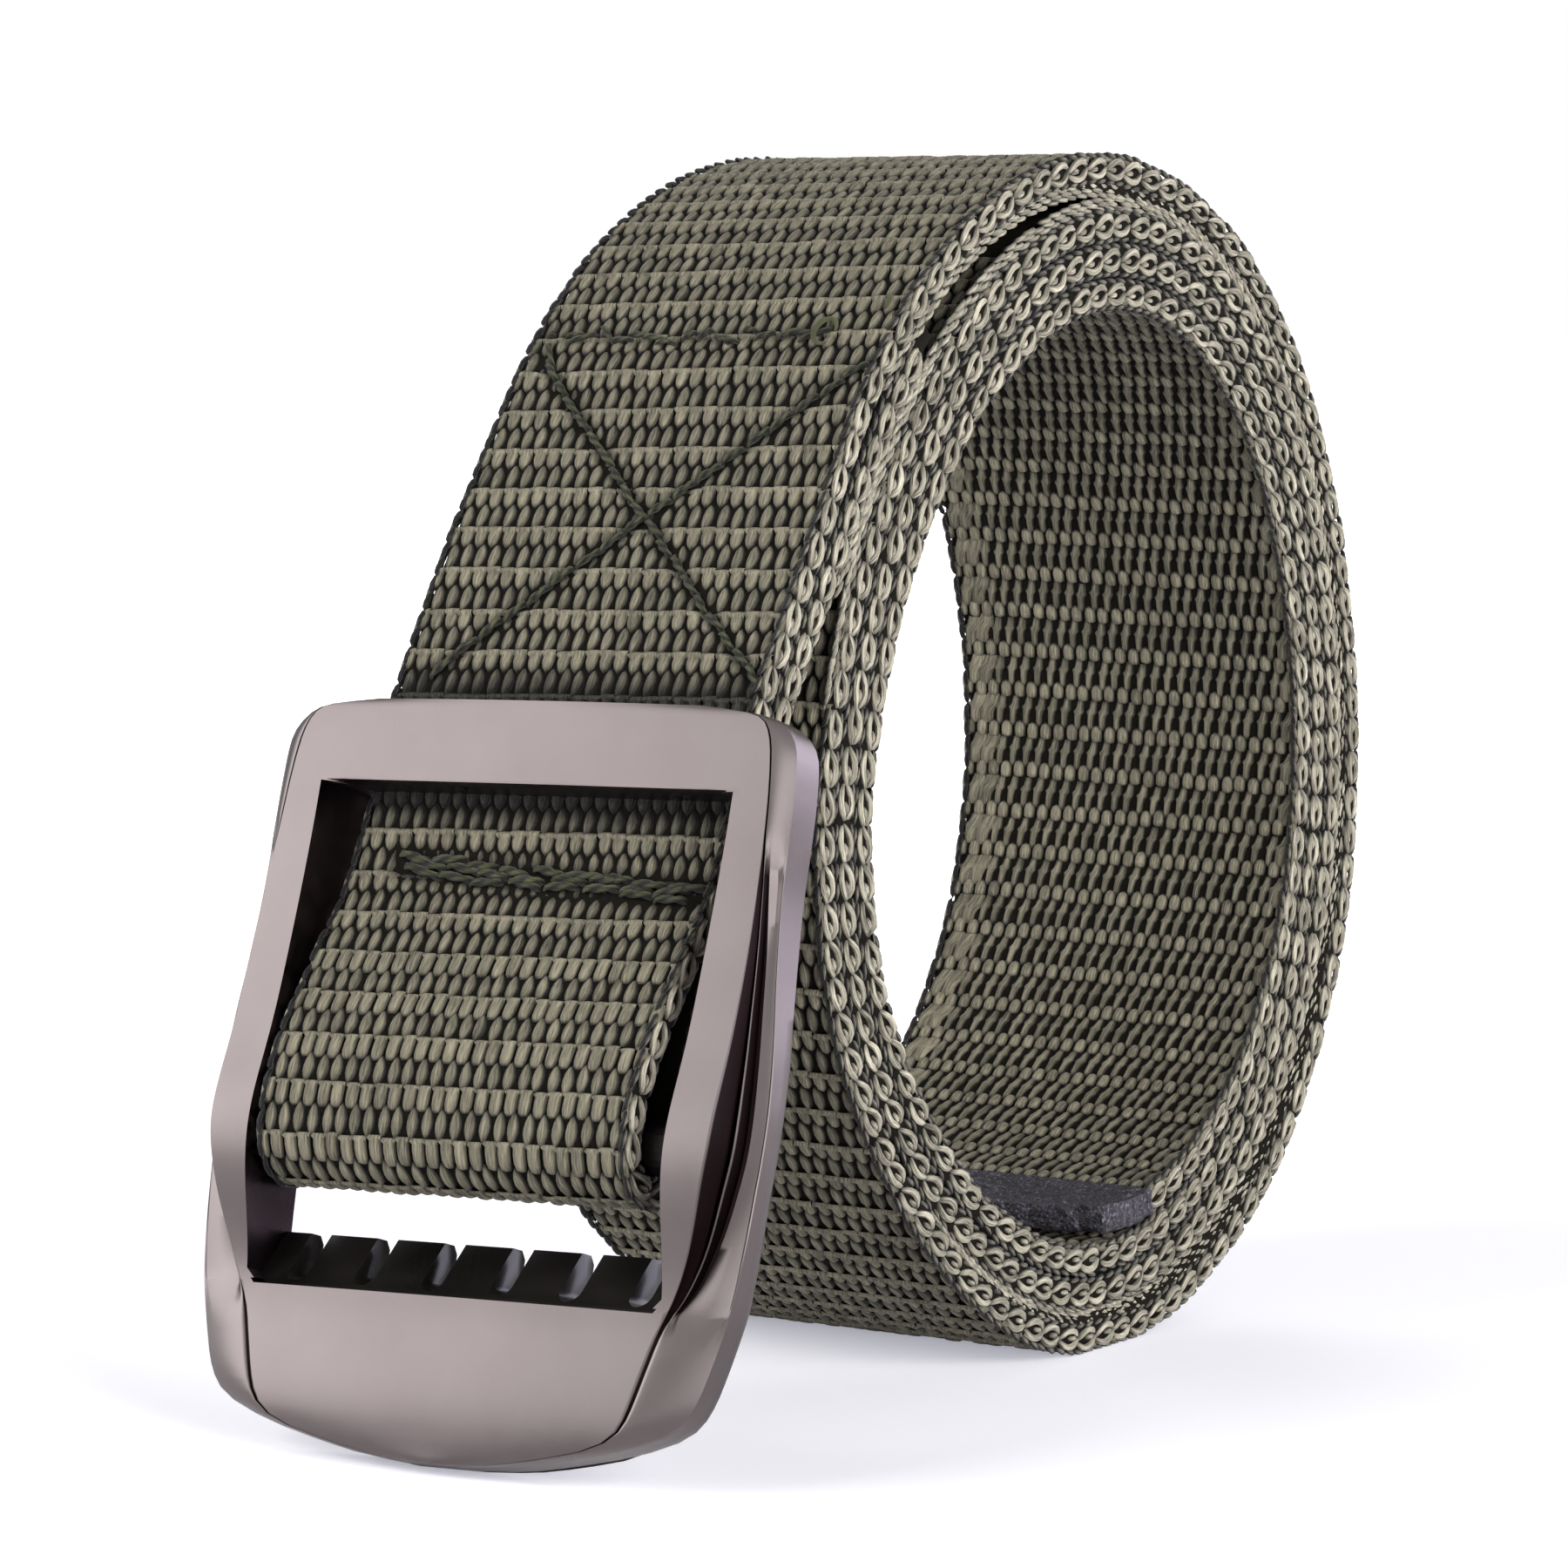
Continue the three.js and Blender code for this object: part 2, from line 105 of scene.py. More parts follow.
def inEditMode(obj, *steps):
    makeActive(obj)
    bpy.ops.object.mode_set(mode="EDIT")
    bpy.ops.mesh.select_all(action="SELECT")
    for step in steps:
        step()
    bpy.ops.object.mode_set(mode="OBJECT")


def joinPieces(pieces, name):
    deselectAll()
    for piece in pieces:
        piece.select_set(True)
    bpy.context.view_layer.objects.active = pieces[0]
    bpy.ops.object.join()
    joined = bpy.context.object
    joined.name = name
    joined.data.name = name
    return joined


def addGrid(name, across, along):
    # a plane grid whose points come back as whole column and row numbers
    deselectAll()
    bpy.ops.mesh.primitive_grid_add(x_subdivisions=across, y_subdivisions=along, size=1)
    grid = bpy.context.object
    grid.name = name
    places = readPoints(grid) * mm + 0.5
    columns = np.rint(places[:, 0] * across).astype(int)
    rows = np.rint(places[:, 1] * along).astype(int)
    return grid, columns, rows


def smoothStep(value):
    share = np.clip(value, 0.0, 1.0)
    return share * share * (3 - 2 * share)


def readCurve(places, values, at):
    # smooth curve through the rows of a table
    places, values, at = (np.asarray(item, dtype=float) for item in (places, values, at))
    order = np.arange(len(places))
    before = np.clip(order - 1, 0, len(places) - 1)
    after = np.clip(order + 1, 0, len(places) - 1)
    slopes = (values[after] - values[before]) / (places[after] - places[before])
    index = np.clip(np.searchsorted(places, at) - 1, 0, len(places) - 2)
    run = places[index + 1] - places[index]
    u = np.clip((at - places[index]) / run, 0, 1)
    start = (1 + 2 * u) * (1 - u) ** 2 * values[index] + u * (1 - u) ** 2 * run * slopes[index]
    end = u * u * (3 - 2 * u) * values[index + 1] + u * u * (u - 1) * run * slopes[index + 1]
    return start + end


def throughPoints(knots, count):
    # evenly numbered points on a Catmull-Rom curve
    knots = np.asarray(knots, dtype=float)
    place = np.linspace(0, len(knots) - 1, count)
    index = np.clip(place.astype(int), 0, len(knots) - 2)
    u = (place - index)[:, None]
    p0, p1 = knots[np.clip(index - 1, 0, None)], knots[index]
    p2, p3 = knots[index + 1], knots[np.clip(index + 2, None, len(knots) - 1)]
    v0, v1 = (p2 - p0) / 2, (p3 - p1) / 2
    return (2 * p1 - 2 * p2 + v0 + v1) * u**3 + (-3 * p1 + 3 * p2 - 2 * v0 - v1) * u**2 + v0 * u + p1


# Camera at the photograph's place
photoView = dict(place=(319.148, -519.356, 111.995), azimuth=32.134, elevation=5.539, roll=0.632, lens=154.187)


def addCamera():
    azimuth, elevation, roll = (math.radians(photoView[key]) for key in ("azimuth", "elevation", "roll"))
    back = Vector((math.sin(azimuth) * math.cos(elevation), -math.cos(azimuth) * math.cos(elevation),
                   math.sin(elevation)))
    right = Vector((math.cos(azimuth), math.sin(azimuth), 0))
    up = back.cross(right)
    turnedRight = right * math.cos(roll) + up * math.sin(roll)
    turnedUp = up * math.cos(roll) - right * math.sin(roll)
    axes = Matrix((turnedRight, turnedUp, back)).transposed()
    data = bpy.data.cameras.new("photoCamera")
    data.lens = photoView["lens"]
    data.sensor_width = 36
    camera = bpy.data.objects.new("photoCamera", data)
    bpy.context.collection.objects.link(camera)
    camera.matrix_world = Matrix.Translation(Vector(photoView["place"]) * mm) @ axes.to_4x4()
    bpy.context.scene.camera = camera


addCamera()

# Studio
studio = dict(
    floorSize=6.0,
    backdrop=1.0,  # what the camera sees behind the belt
    # strength of the light from all round: middle value, and its change towards +X, +Y and +Z
    fill=(0.28, 0.07, -0.03, -0.17),
    # what the plated metal mirrors: an even part with its change, and soft bright fields as
    # (direction, nearness where the field starts and is full, strength)
    mirror=(0.75, 0.3, -0.25, 0.15),
    fields=[((-0.80, -0.50, 0.33), 0.8, 0.985, 3.1), ((0.80, -0.58, 0.1), 0.75, 1.0, 2.6),
            ((0.5, 0.85, 0.1), 0.75, 1.0, 3.0)],
    coolLight=(0.87, 0.84, 1.0, 1.0),  # tint of the last field
    floorGlow=(0.355, 0.36, 0.41),  # red, green and blue under the belt; all grow to 1 further out
    lamps=[
        # name, place, size, power, all in metres and watts; each looks at the belt
        ("keyLight", (1.2, -0.45, 0.36), 0.8, 26.0),
        ("frontLight", (-0.5, -1.05, 0.6), 0.7, 11.5),
        ("backLight", (-0.9, 1.0, 0.55), 0.9, 10.5),
    ],
)


def addStudio():
    deselectAll()
    bpy.ops.mesh.primitive_plane_add(size=studio["floorSize"])
    floor = bpy.context.object
    floor.name = "studio_floor"
    for name, place, size, power in studio["lamps"]:
        data = bpy.data.lights.new(name, "AREA")
        data.shape = "SQUARE"
        data.size = size
        data.energy = power
        lamp = bpy.data.objects.new(name, data)
        bpy.context.collection.objects.link(lamp)
        lamp.location = place
        aim = Vector((0, 0, 0.05)) - Vector(place)
        lamp.rotation_euler = aim.to_track_quat("-Z", "Y").to_euler()
        lamp.visible_glossy = False
    bpy.context.scene.view_settings.view_transform = "Standard"
    return floor


studioFloor = addStudio()
print("camera and studio placed")

# Nodes and materials


def setInputs(tree, node, values):
    # a socket is linked, a plain value is set
    for key, value in values.items():
        if isinstance(value, bpy.types.NodeSocket):
            tree.links.new(value, node.inputs[key])
        else:
            node.inputs[key].default_value = value


def addNode(tree, kind, inputs=None, **settings):
    node = tree.nodes.new(kind)
    for key, value in settings.items():
        setattr(node, key, value)
    setInputs(tree, node, inputs or {})
    return node


def mathNode(tree, operation, first, second=0.0):
    return addNode(tree, "ShaderNodeMath", {0: first, 1: second}, operation=operation).outputs[0]


def mixNode(tree, factor, first, second):
    node = addNode(tree, "ShaderNodeMix", data_type="RGBA")
    setInputs(tree, node, {0: factor, 6: first, 7: second})
    return node.outputs[2]


def rangeNode(tree, value, low, high, newLow, newHigh):
    # a straight rescaling; the new ends may be sockets
    inputs = {"Value": value, "From Min": low, "From Max": high, "To Min": newLow, "To Max": newHigh}
    return addNode(tree, "ShaderNodeMapRange", inputs).outputs[0]


def attributeNode(tree, name):
    return addNode(tree, "ShaderNodeAttribute", attribute_name=name).outputs["Fac"]


def newGroup(name, inputs, outputs):
    group = bpy.data.node_groups.new(name, "ShaderNodeTree")
    for label, kind, value in inputs:
        socket = group.interface.new_socket(name=label, in_out="INPUT", socket_type=kind)
        socket.default_value = value
    for label, kind in outputs:
        group.interface.new_socket(name=label, in_out="OUTPUT", socket_type=kind)
    return group, group.nodes.new("NodeGroupInput").outputs, group.nodes.new("NodeGroupOutput").inputs


def bumpNode(tree, height, strength, distance):
    return addNode(tree, "ShaderNodeBump", {"Strength": strength, "Distance": distance * mm,
                                            "Height": height}).outputs[0]


def noiseNode(tree, place, scale, detail):
    return addNode(tree, "ShaderNodeTexNoise", {"Vector": place, "Scale": scale, "Detail": detail}).outputs[0]


def newMaterial(name):
    material = bpy.data.materials.new(name)
    material.use_nodes = True
    tree = material.node_tree
    return material, tree, tree.nodes["Principled BSDF"]


def hexColor(digits):
    parts = [int(digits[i:i + 2], 16) / 255 for i in (1, 3, 5)]
    linear = [part / 12.92 if part <= 0.04045 else ((part + 0.055) / 1.055) ** 2.4 for part in parts]
    return (*linear, 1.0)


def makeYarnGroup():
    # one yarn: fine filaments along it, a tone of its own, and painted shade at its foot where it sinks in, blended
    # towards the gap colour
    group, given, result = newGroup(
        "yarnFilaments",
        [("Tone", "NodeSocketFloat", 0.5), ("Depth", "NodeSocketFloat", 1.0),
         ("Filaments", "NodeSocketFloat", 9.0), ("Light", "NodeSocketColor", (1, 1, 1, 1)),
         ("Shade", "NodeSocketColor", (0.5, 0.5, 0.5, 1)), ("Gap", "NodeSocketColor", (0, 0, 0, 1))],
        [("Color", "NodeSocketColor"), ("Roughness", "NodeSocketFloat"), ("Height", "NodeSocketFloat")])
    uv = addNode(group, "ShaderNodeTexCoord").outputs["UV"]
    split = addNode(group, "ShaderNodeSeparateXYZ", {0: uv})
    around = mathNode(group, "MULTIPLY", split.outputs[0], given["Filaments"])
    along = mathNode(group, "MULTIPLY", split.outputs[1], 1.6)
    seed = mathNode(group, "MULTIPLY", given["Tone"], 71.0)
    place = addNode(group, "ShaderNodeCombineXYZ", {0: around, 1: along, 2: seed}).outputs[0]
    noise = addNode(group, "ShaderNodeTexNoise", {"Vector": place, "Scale": 1.0, "Detail": 3.0, "Roughness": 0.6})
    strand = rangeNode(group, noise.outputs[0], 0.35, 0.65, 0.0, 1.0)
    tone = mathNode(group, "ADD", mathNode(group, "MULTIPLY", given["Tone"], 0.45),
                    mathNode(group, "MULTIPLY", strand, 0.55))
    color = mixNode(group, tone, given["Shade"], given["Light"])
    # painted shade: the yarn's low parts, by yarnDepth, take the near-black gap colour
    foot = rangeNode(group, given["Depth"], 0.15, 0.85, 0.0, 1.0)
    group.links.new(mixNode(group, foot, given["Gap"], color), result["Color"])
    group.links.new(rangeNode(group, strand, 0.0, 1.0, 0.85, 0.5), result["Roughness"])
    group.links.new(strand, result["Height"])
    return group


def makeMetalGroup():
    # cast and plated metal: cloudy plating, fine grain, faint handling marks
    group, given, result = newGroup(
        "platedGrain",
        [("Color", "NodeSocketColor", (0.3, 0.3, 0.3, 1)), ("Cloud", "NodeSocketColor", (0.2, 0.2, 0.2, 1)),
         ("Roughness", "NodeSocketFloat", 0.3), ("Spread", "NodeSocketFloat", 0.1)],
        [("Color", "NodeSocketColor"), ("Roughness", "NodeSocketFloat"), ("Height", "NodeSocketFloat")])
    place = addNode(group, "ShaderNodeTexCoord").outputs["Object"]
    cloud = noiseNode(group, place, 90.0, 4.0)
    grain = noiseNode(group, place, 2600.0, 2.0)
    cloudy = rangeNode(group, cloud, 0.35, 0.65, 0.0, 1.0)
    group.links.new(mixNode(group, cloudy, given["Cloud"], given["Color"]), result["Color"])
    spread = mathNode(group, "MULTIPLY", rangeNode(group, cloud, 0.3, 0.7, -1.0, 1.0), given["Spread"])
    group.links.new(mathNode(group, "ADD", given["Roughness"], spread), result["Roughness"])
    group.links.new(grain, result["Height"])
    return group


yarnGroup = makeYarnGroup()
metalGroup = makeMetalGroup()


def makeYarnMaterial(name, light, shade, filaments=9.0, bump=0.9, distance=0.12):
    material, tree, shader = newMaterial(name)
    yarn = addNode(tree, "ShaderNodeGroup", {
        "Tone": attributeNode(tree, "yarnTone"), "Depth": attributeNode(tree, "yarnDepth"), "Filaments": filaments,
        "Light": light, "Shade": shade, "Gap": finishes["yarnGapShade"]}, node_tree=yarnGroup).outputs
    setInputs(tree, shader, {
        "Base Color": yarn["Color"], "Roughness": yarn["Roughness"],
        "Normal": bumpNode(tree, yarn["Height"], bump, distance),
        "Sheen Weight": 0.1, "Sheen Roughness": 0.4, "Specular IOR Level": 0.4})
    return material


def makeMetalMaterial(name, color, cloud, roughness, spread, metallic, coat, shadedHollows=False):
    material, tree, shader = newMaterial(name)
    metal = addNode(tree, "ShaderNodeGroup", {
        "Color": color, "Cloud": cloud, "Roughness": roughness, "Spread": spread}, node_tree=metalGroup).outputs
    plated = metal["Color"]
    if shadedHollows:  # painted shade: the hollows are coloured near black for the dark they mirror
        share = rangeNode(tree, attributeNode(tree, "hollowShadeShare"), 0.2, 0.9, 0.0, 1.0)
        plated = mixNode(tree, share, plated, finishes["hollowShade"])
    setInputs(tree, shader, {
        "Base Color": plated, "Roughness": metal["Roughness"], "Normal": bumpNode(tree, metal["Height"], 0.12,
                                                                                  0.03),
        "Metallic": metallic, "Coat Weight": coat, "Coat Roughness": 0.12, "Specular IOR Level": 0.3})
    return material


finishes = dict(
    yarnLight=hexColor("#8f8975"),
    yarnShade=hexColor("#302f28"),
    # near black that the yarns' feet fade into: painted shade in the gaps
    yarnGapShade=hexColor("#070605"),
    # lighter copy of the webbing yarn's colours for the selvedges: painted light and highlights on the edges
    edgeLight=hexColor("#d0c9b5"),
    edgeShade=hexColor("#3b382f"),
    threadLight=hexColor("#4d4f35"),
    threadShade=hexColor("#0b0c07"),
    sealLight=hexColor("#34313a"),
    sealShade=hexColor("#17151a"),
    sealSpeck=hexColor("#7d7984"),
    sealPit=hexColor("#050505"),
    gunmetal=hexColor("#756d6d"),
    gunmetalCloud=hexColor("#6d6565"),
    # near black for the flank's hollows: painted shade and dark reflection on the plating
    hollowShade=hexColor("#1a1112"),
    # darker copy of the plating for the window's inner walls: painted shade and dark reflection
    wall=hexColor("#6a5c64"),
    wallCloud=hexColor("#4a3f46"),
    # near black of the comb and the crossbar; on the comb, likely the same plating as the frame, it is painted shade
    gloss=hexColor("#120f0f"),
    glossCloud=hexColor("#0a0808"),
    # near-black weave body: painted shade for the gaps between the yarns
    groundDark=hexColor("#0b0a08"),
    groundLight=hexColor("#1c1a15"),
    floor=hexColor("#f3f1f3"),
)
webbingYarn = makeYarnMaterial("webbingYarn", finishes["yarnLight"], finishes["yarnShade"])
# the selvedges wear a lighter copy of the yarn colours: painted light
edgeYarn = makeYarnMaterial("edgeYarn", finishes["edgeLight"], finishes["edgeShade"], 6.0, 1.0, 0.2)
stitchThread = makeYarnMaterial("stitchThread", finishes["threadLight"], finishes["threadShade"])
gunmetalPlate = makeMetalMaterial(
    "gunmetalPlate", finishes["gunmetal"], finishes["gunmetalCloud"], 0.3, 0.04, 1.0, 0.0, shadedHollows=True)
shadedWallPlate = makeMetalMaterial("shadedWallPlate", finishes["wall"], finishes["wallCloud"], 0.3, 0.05, 1.0, 0.0)
# near-black gloss: painted shade on the comb, the crossbar's own dark paint
blackGlossAndShade = makeMetalMaterial("blackGlossAndShade", finishes["gloss"], finishes["glossCloud"], 0.3, 0.05, 0.0, 0.15)


def makeGroundMaterial():
    # the body of the weave between and under the yarns, painted near black as the shade in its gaps
    material, tree, shader = newMaterial("weaveGround")
    noise = noiseNode(tree, addNode(tree, "ShaderNodeTexCoord").outputs["Object"], 1800.0, 3.0)
    setInputs(tree, shader, {
        "Base Color": mixNode(tree, noise, finishes["groundDark"], finishes["groundLight"]),
        "Normal": bumpNode(tree, noise, 0.6, 0.2), "Roughness": 0.95, "Specular IOR Level": 0.1})
    return material


def makeSealMaterial():
    material, tree, shader = newMaterial("meltedEnd")
    place = addNode(tree, "ShaderNodeTexCoord").outputs["Object"]
    coarse = noiseNode(tree, place, 900.0, 5.0)
    specks = noiseNode(tree, place, 3200.0, 2.0)
    color = mixNode(tree, rangeNode(tree, coarse, 0.3, 0.7, 0.0, 1.0), finishes["sealShade"], finishes["sealLight"])
    color = mixNode(tree, rangeNode(tree, specks, 0.56, 0.7, 0.0, 0.7), color, finishes["sealSpeck"])
    color = mixNode(tree, rangeNode(tree, specks, 0.3, 0.44, 0.9, 0.0), color, finishes["sealPit"])
    height = mathNode(tree, "ADD", coarse, mathNode(tree, "MULTIPLY", specks, 0.5))
    setInputs(tree, shader, {"Base Color": color, "Normal": bumpNode(tree, height, 1.0, 0.6), "Roughness": 0.55})
    return material


def makeFloorMaterial():
    material, tree, shader = newMaterial("studioFloor")
    # the far floor brightens into the backdrop
    place = addNode(tree, "ShaderNodeTexCoord").outputs["Object"]
    away = addNode(tree, "ShaderNodeVectorMath", {0: place}, operation="LENGTH").outputs["Value"]
    seen = rangeNode(tree, addNode(tree, "ShaderNodeLightPath").outputs["Is Camera Ray"], 0.0, 1.0, 0.25, 1.0)
    glows = [mathNode(tree, "MULTIPLY", seen, rangeNode(tree, away, 0.1, 0.5, near,
                                                        1.0)) for near in studio["floorGlow"]]
    setInputs(tree, shader, {
        "Base Color": finishes["floor"], "Roughness": 0.9, "Specular IOR Level": 0.1, "Emission Strength": 1.0,
        "Emission Color": addNode(tree, "ShaderNodeCombineXYZ", dict(enumerate(glows))).outputs[0]})
    return material


def makeWorld():
    world = bpy.data.worlds.new("studioWorld")
    world.use_nodes = True
    bpy.context.scene.world = world
    tree = world.node_tree
    background = tree.nodes["Background"]
    path = addNode(tree, "ShaderNodeLightPath").outputs
    direction = addNode(tree, "ShaderNodeTexCoord").outputs["Generated"]

    def towards(wanted):
        return addNode(tree, "ShaderNodeVectorMath", {0: direction, 1: wanted},
                       operation="DOT_PRODUCT").outputs["Value"]

    fill = mathNode(tree, "ADD", towards(studio["fill"][1:]), studio["fill"][0])
    mirror = mathNode(tree, "ADD", towards(studio["mirror"][1:]), studio["mirror"][0])
    for wanted, start, full, power in studio["fields"]:
        mirror = mathNode(tree, "ADD", mirror, rangeNode(tree, towards(wanted), start, full, 0.0, power))
    strength = rangeNode(tree, path["Is Glossy Ray"], 0.0, 1.0, fill, mirror)
    cool = mathNode(tree, "MULTIPLY", rangeNode(tree, towards(studio["fields"][-1][0]), 0.75, 0.97, 0.0, 1.0),
                    path["Is Glossy Ray"])
    tree.links.new(mixNode(tree, cool, (1, 1, 1, 1), studio["coolLight"]), background.inputs["Color"])
    strength = rangeNode(tree, path["Is Camera Ray"], 0.0, 1.0, strength, studio["backdrop"])
    tree.links.new(strength, background.inputs["Strength"])


weaveGround = makeGroundMaterial()
meltedEnd = makeSealMaterial()
studioFloor.data.materials.append(makeFloorMaterial())
makeWorld()
print("materials made")


def setMaterial(obj, *materials):
    obj.data.materials.clear()
    for material in materials:
        obj.data.materials.append(material)


# The strap's middle line, the same as in the CAD, and a way to lay things on it
strap = dict(
    width=38.0, thickness=2.8, layerGap=0.32, sealLength=9.0,
    eyeRadius=39.0, innerEndTurn=0.01, leavingTurn=3.63, tailEndTurn=3.6, restFlattening=0.3, stepsPerTurn=48,
    windowHeight=44.1, frameHeight=65.2, lowerPlateHeight=13.9, frameDepth=5.4,
    lean=math.radians(16.62), turn=math.radians(2.1), standOff=24.1, seamRise=0.33,
    barDrop=8.0, barDepth=1.8, loopRadius=4.0,
    step=0.5,             # spacing of the route's points
    rowSkew=2.4,          # degrees that the weave's rows are turned on the strap's outer end
    topTilt=0.45,         # how far the last layer's near edge stands up at the top
)
eyeTurns = [0, .0625, .125, .1875, .25, .3125, .375, .4375, .5, .5625, .625, .6875, .75, .8125, .875, .9375]
eyeReach = [1.028, 1.044, 1.045, 1.013, .985, .987, 1.03, 1.07, 1.06, 1.005, .95, .925, .942, .95, .945, .975]
slackTurns = [2.9, 3.0, 3.1, 3.2, 3.3, 3.4, 3.46, 3.5, 3.54, 3.58, 3.63, 3.7]
slackShares = [0, .4, .64, .55, .25, .12, .25, .6, .98, 1.32, 1.55, 2.2]
leadRises = [1.01, .86, .73, .6, .48, .36, .27, .19, .09, 0, -.09]
leadDepths = [1.63, 1.28, .98, .84, .78, .63, .45, .15, -.19, -.48, -.64]
layerPitch = strap["thickness"] + strap["layerGap"]
halfWeb = strap["thickness"] / 2
halfWindow = strap["windowHeight"] / 2


def coilRadius(turn):
    turn = np.asarray(turn, dtype=float)
    places = [eyeTurns[-1] - 1, *eyeTurns, 1, 1 + eyeTurns[1]]
    reaches = [eyeReach[-1], *eyeReach, eyeReach[0], eyeReach[1]]
    eye = readCurve(places, reaches, turn - np.floor(turn)) * strap["eyeRadius"]
    slack = np.where(turn < slackTurns[0], 0, readCurve(slackTurns, slackShares, turn) * strap["thickness"])
    return eye + layerPitch * turn + halfWeb + slack


def coilCentreHeight():
    turns = np.arange(strap["innerEndTurn"], strap["leavingTurn"] + 1e-9, 1 / strap["stepsPerTurn"])
    return np.max((coilRadius(turns) + halfWeb) * np.cos(2 * np.pi * turns)) - strap["restFlattening"]


coilHeight = coilCentreHeight()
buckleRotation = Matrix.Rotation(-strap["lean"], 3, "X") @ Matrix.Rotation(-strap["turn"], 3, "Y")
barLow, barHigh = (np.array(corner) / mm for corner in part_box("crossbar"))
windowMiddle = (barLow + barHigh) / 2 - np.array(buckleRotation @ Vector((0, strap["barDepth"], -strap["barDrop"])))
coilY = windowMiddle[1] + float(coilRadius(2.75)) + halfWeb + strap["standOff"]
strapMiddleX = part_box("webbing_strap")[0][0] / mm + strap["width"] / 2


def coilPoints(turns):
    radius = coilRadius(turns)
    angle = 2 * np.pi * np.asarray(turns)
    return np.stack([coilY + radius * np.sin(angle), np.maximum(coilHeight - radius * np.cos(angle), halfWeb)],
                    axis=1)


def besideBuckle(rise, depth):
    rise, depth = np.asarray(rise, dtype=float), np.asarray(depth, dtype=float)
    y = windowMiddle[1] + rise * math.sin(strap["lean"]) + depth * math.cos(strap["lean"])
    z = windowMiddle[2] + rise * math.cos(strap["lean"]) - depth * math.sin(strap["lean"])
    return np.stack([y, z], axis=-1)


def sideNormals(points, reach=1):
    order = np.arange(len(points))
    along = points[np.clip(order + reach, None, len(points) - 1)] - points[np.clip(order - reach, 0, None)]
    along /= np.linalg.norm(along, axis=1)[:, None]
    return np.stack([-along[:, 1], along[:, 0]], axis=1)


def evenly(points, step):
    lengths = np.concatenate([[0], np.cumsum(np.linalg.norm(np.diff(points, axis=0), axis=1))])
    places = np.arange(0, lengths[-1], step)
    return np.stack([np.interp(places, lengths, points[:, i]) for i in (0, 1)], axis=1)


def buildRoute():
    coil = coilPoints(np.arange(strap["innerEndTurn"], strap["leavingTurn"], 1 / 480))
    face = besideBuckle(np.array(leadRises) * strap["windowHeight"], np.array(leadDepths) * strap["frameDepth"])
    middle = face + sideNormals(face) * halfWeb
    loopStart = besideBuckle(-strap["barDrop"], strap["barDepth"] - strap["loopRadius"])
    leaving = coilPoints([strap["leavingTurn"] - 1 / strap["stepsPerTurn"], strap["leavingTurn"]])
    knots = np.vstack([leaving, middle, loopStart])
    perSpan = 20
    lead = throughPoints(knots, (len(knots) - 1) * perSpan + 1)[perSpan:]
    angles = np.linspace(0, np.pi, 41)[1:-1]
    loop = besideBuckle(-strap["barDrop"] - strap["loopRadius"] * np.sin(angles),
                        strap["barDepth"] - strap["loopRadius"] * np.cos(angles))
    last = coilPoints(np.arange(strap["tailEndTurn"], strap["leavingTurn"], 1 / 480))
    cover = evenly(np.vstack([last, lead])[::-1], strap["step"])
    travelled = np.arange(len(cover)) * strap["step"]
    seamLength = strap["barDrop"] + strap["seamRise"] * strap["windowHeight"]
    open_ = np.clip(1 - travelled / seamLength, 0, 1)
    offset = -layerPitch - (2 * strap["loopRadius"] - layerPitch) * open_**2 * (3 - 2 * open_)
    tail = cover + sideNormals(cover, 4) * offset[:, None]
    coilLength = np.linalg.norm(np.diff(coil, axis=0), axis=1).sum()
    leadLength = np.linalg.norm(np.diff(lead, axis=0), axis=1).sum()
    points = evenly(np.vstack([coil, lead, loop, tail]), strap["step"])
    return points, coilLength, leadLength


routePoints, coilLength, leadLength = buildRoute()
routeInward = sideNormals(routePoints, 3)
routeLength = (len(routePoints) - 1) * strap["step"]
turnLengths = np.concatenate([[0], np.cumsum(np.linalg.norm(np.diff(
    coilPoints(np.arange(strap["innerEndTurn"], strap["leavingTurn"], 1 / 480)), axis=0), axis=1))])
turnPlaces = np.arange(strap["innerEndTurn"], strap["leavingTurn"], 1 / 480)


def lengthAtTurn(turn):
    return float(np.interp(turn, turnPlaces, turnLengths))


def buildTurnShare():
    rise = ((routePoints[:, 0] - windowMiddle[1]) * math.sin(strap["lean"])
            + (routePoints[:, 1] - windowMiddle[2]) * math.cos(strap["lean"]))
    free = strap["frameHeight"] - halfWindow - strap["lowerPlateHeight"]
    share = np.clip((strap["windowHeight"] - rise) / (strap["windowHeight"] - free), 0, 1)
    share[np.arange(len(share)) * strap["step"] < coilLength] = 0
    return share


routeTurnShare = buildTurnShare()


def alongRoute(values, s):
    places = np.arange(len(routePoints)) * strap["step"]
    return np.interp(s, places, values)


def rowSkewAt(s):
    ramp = smoothStep((s - lengthAtTurn(3.2)) / (lengthAtTurn(3.5) - lengthAtTurn(3.2)))
    return np.radians(strap["rowSkew"]) * ramp - strap["turn"] * alongRoute(routeTurnShare, s)


def topTiltAt(s):
    start, full, end = lengthAtTurn(3.25), lengthAtTurn(3.42), coilLength + 22
    return strap["topTilt"] * smoothStep((s - start) / (full - start)) * (1 - smoothStep((s - coilLength) / (end - coilLength)))


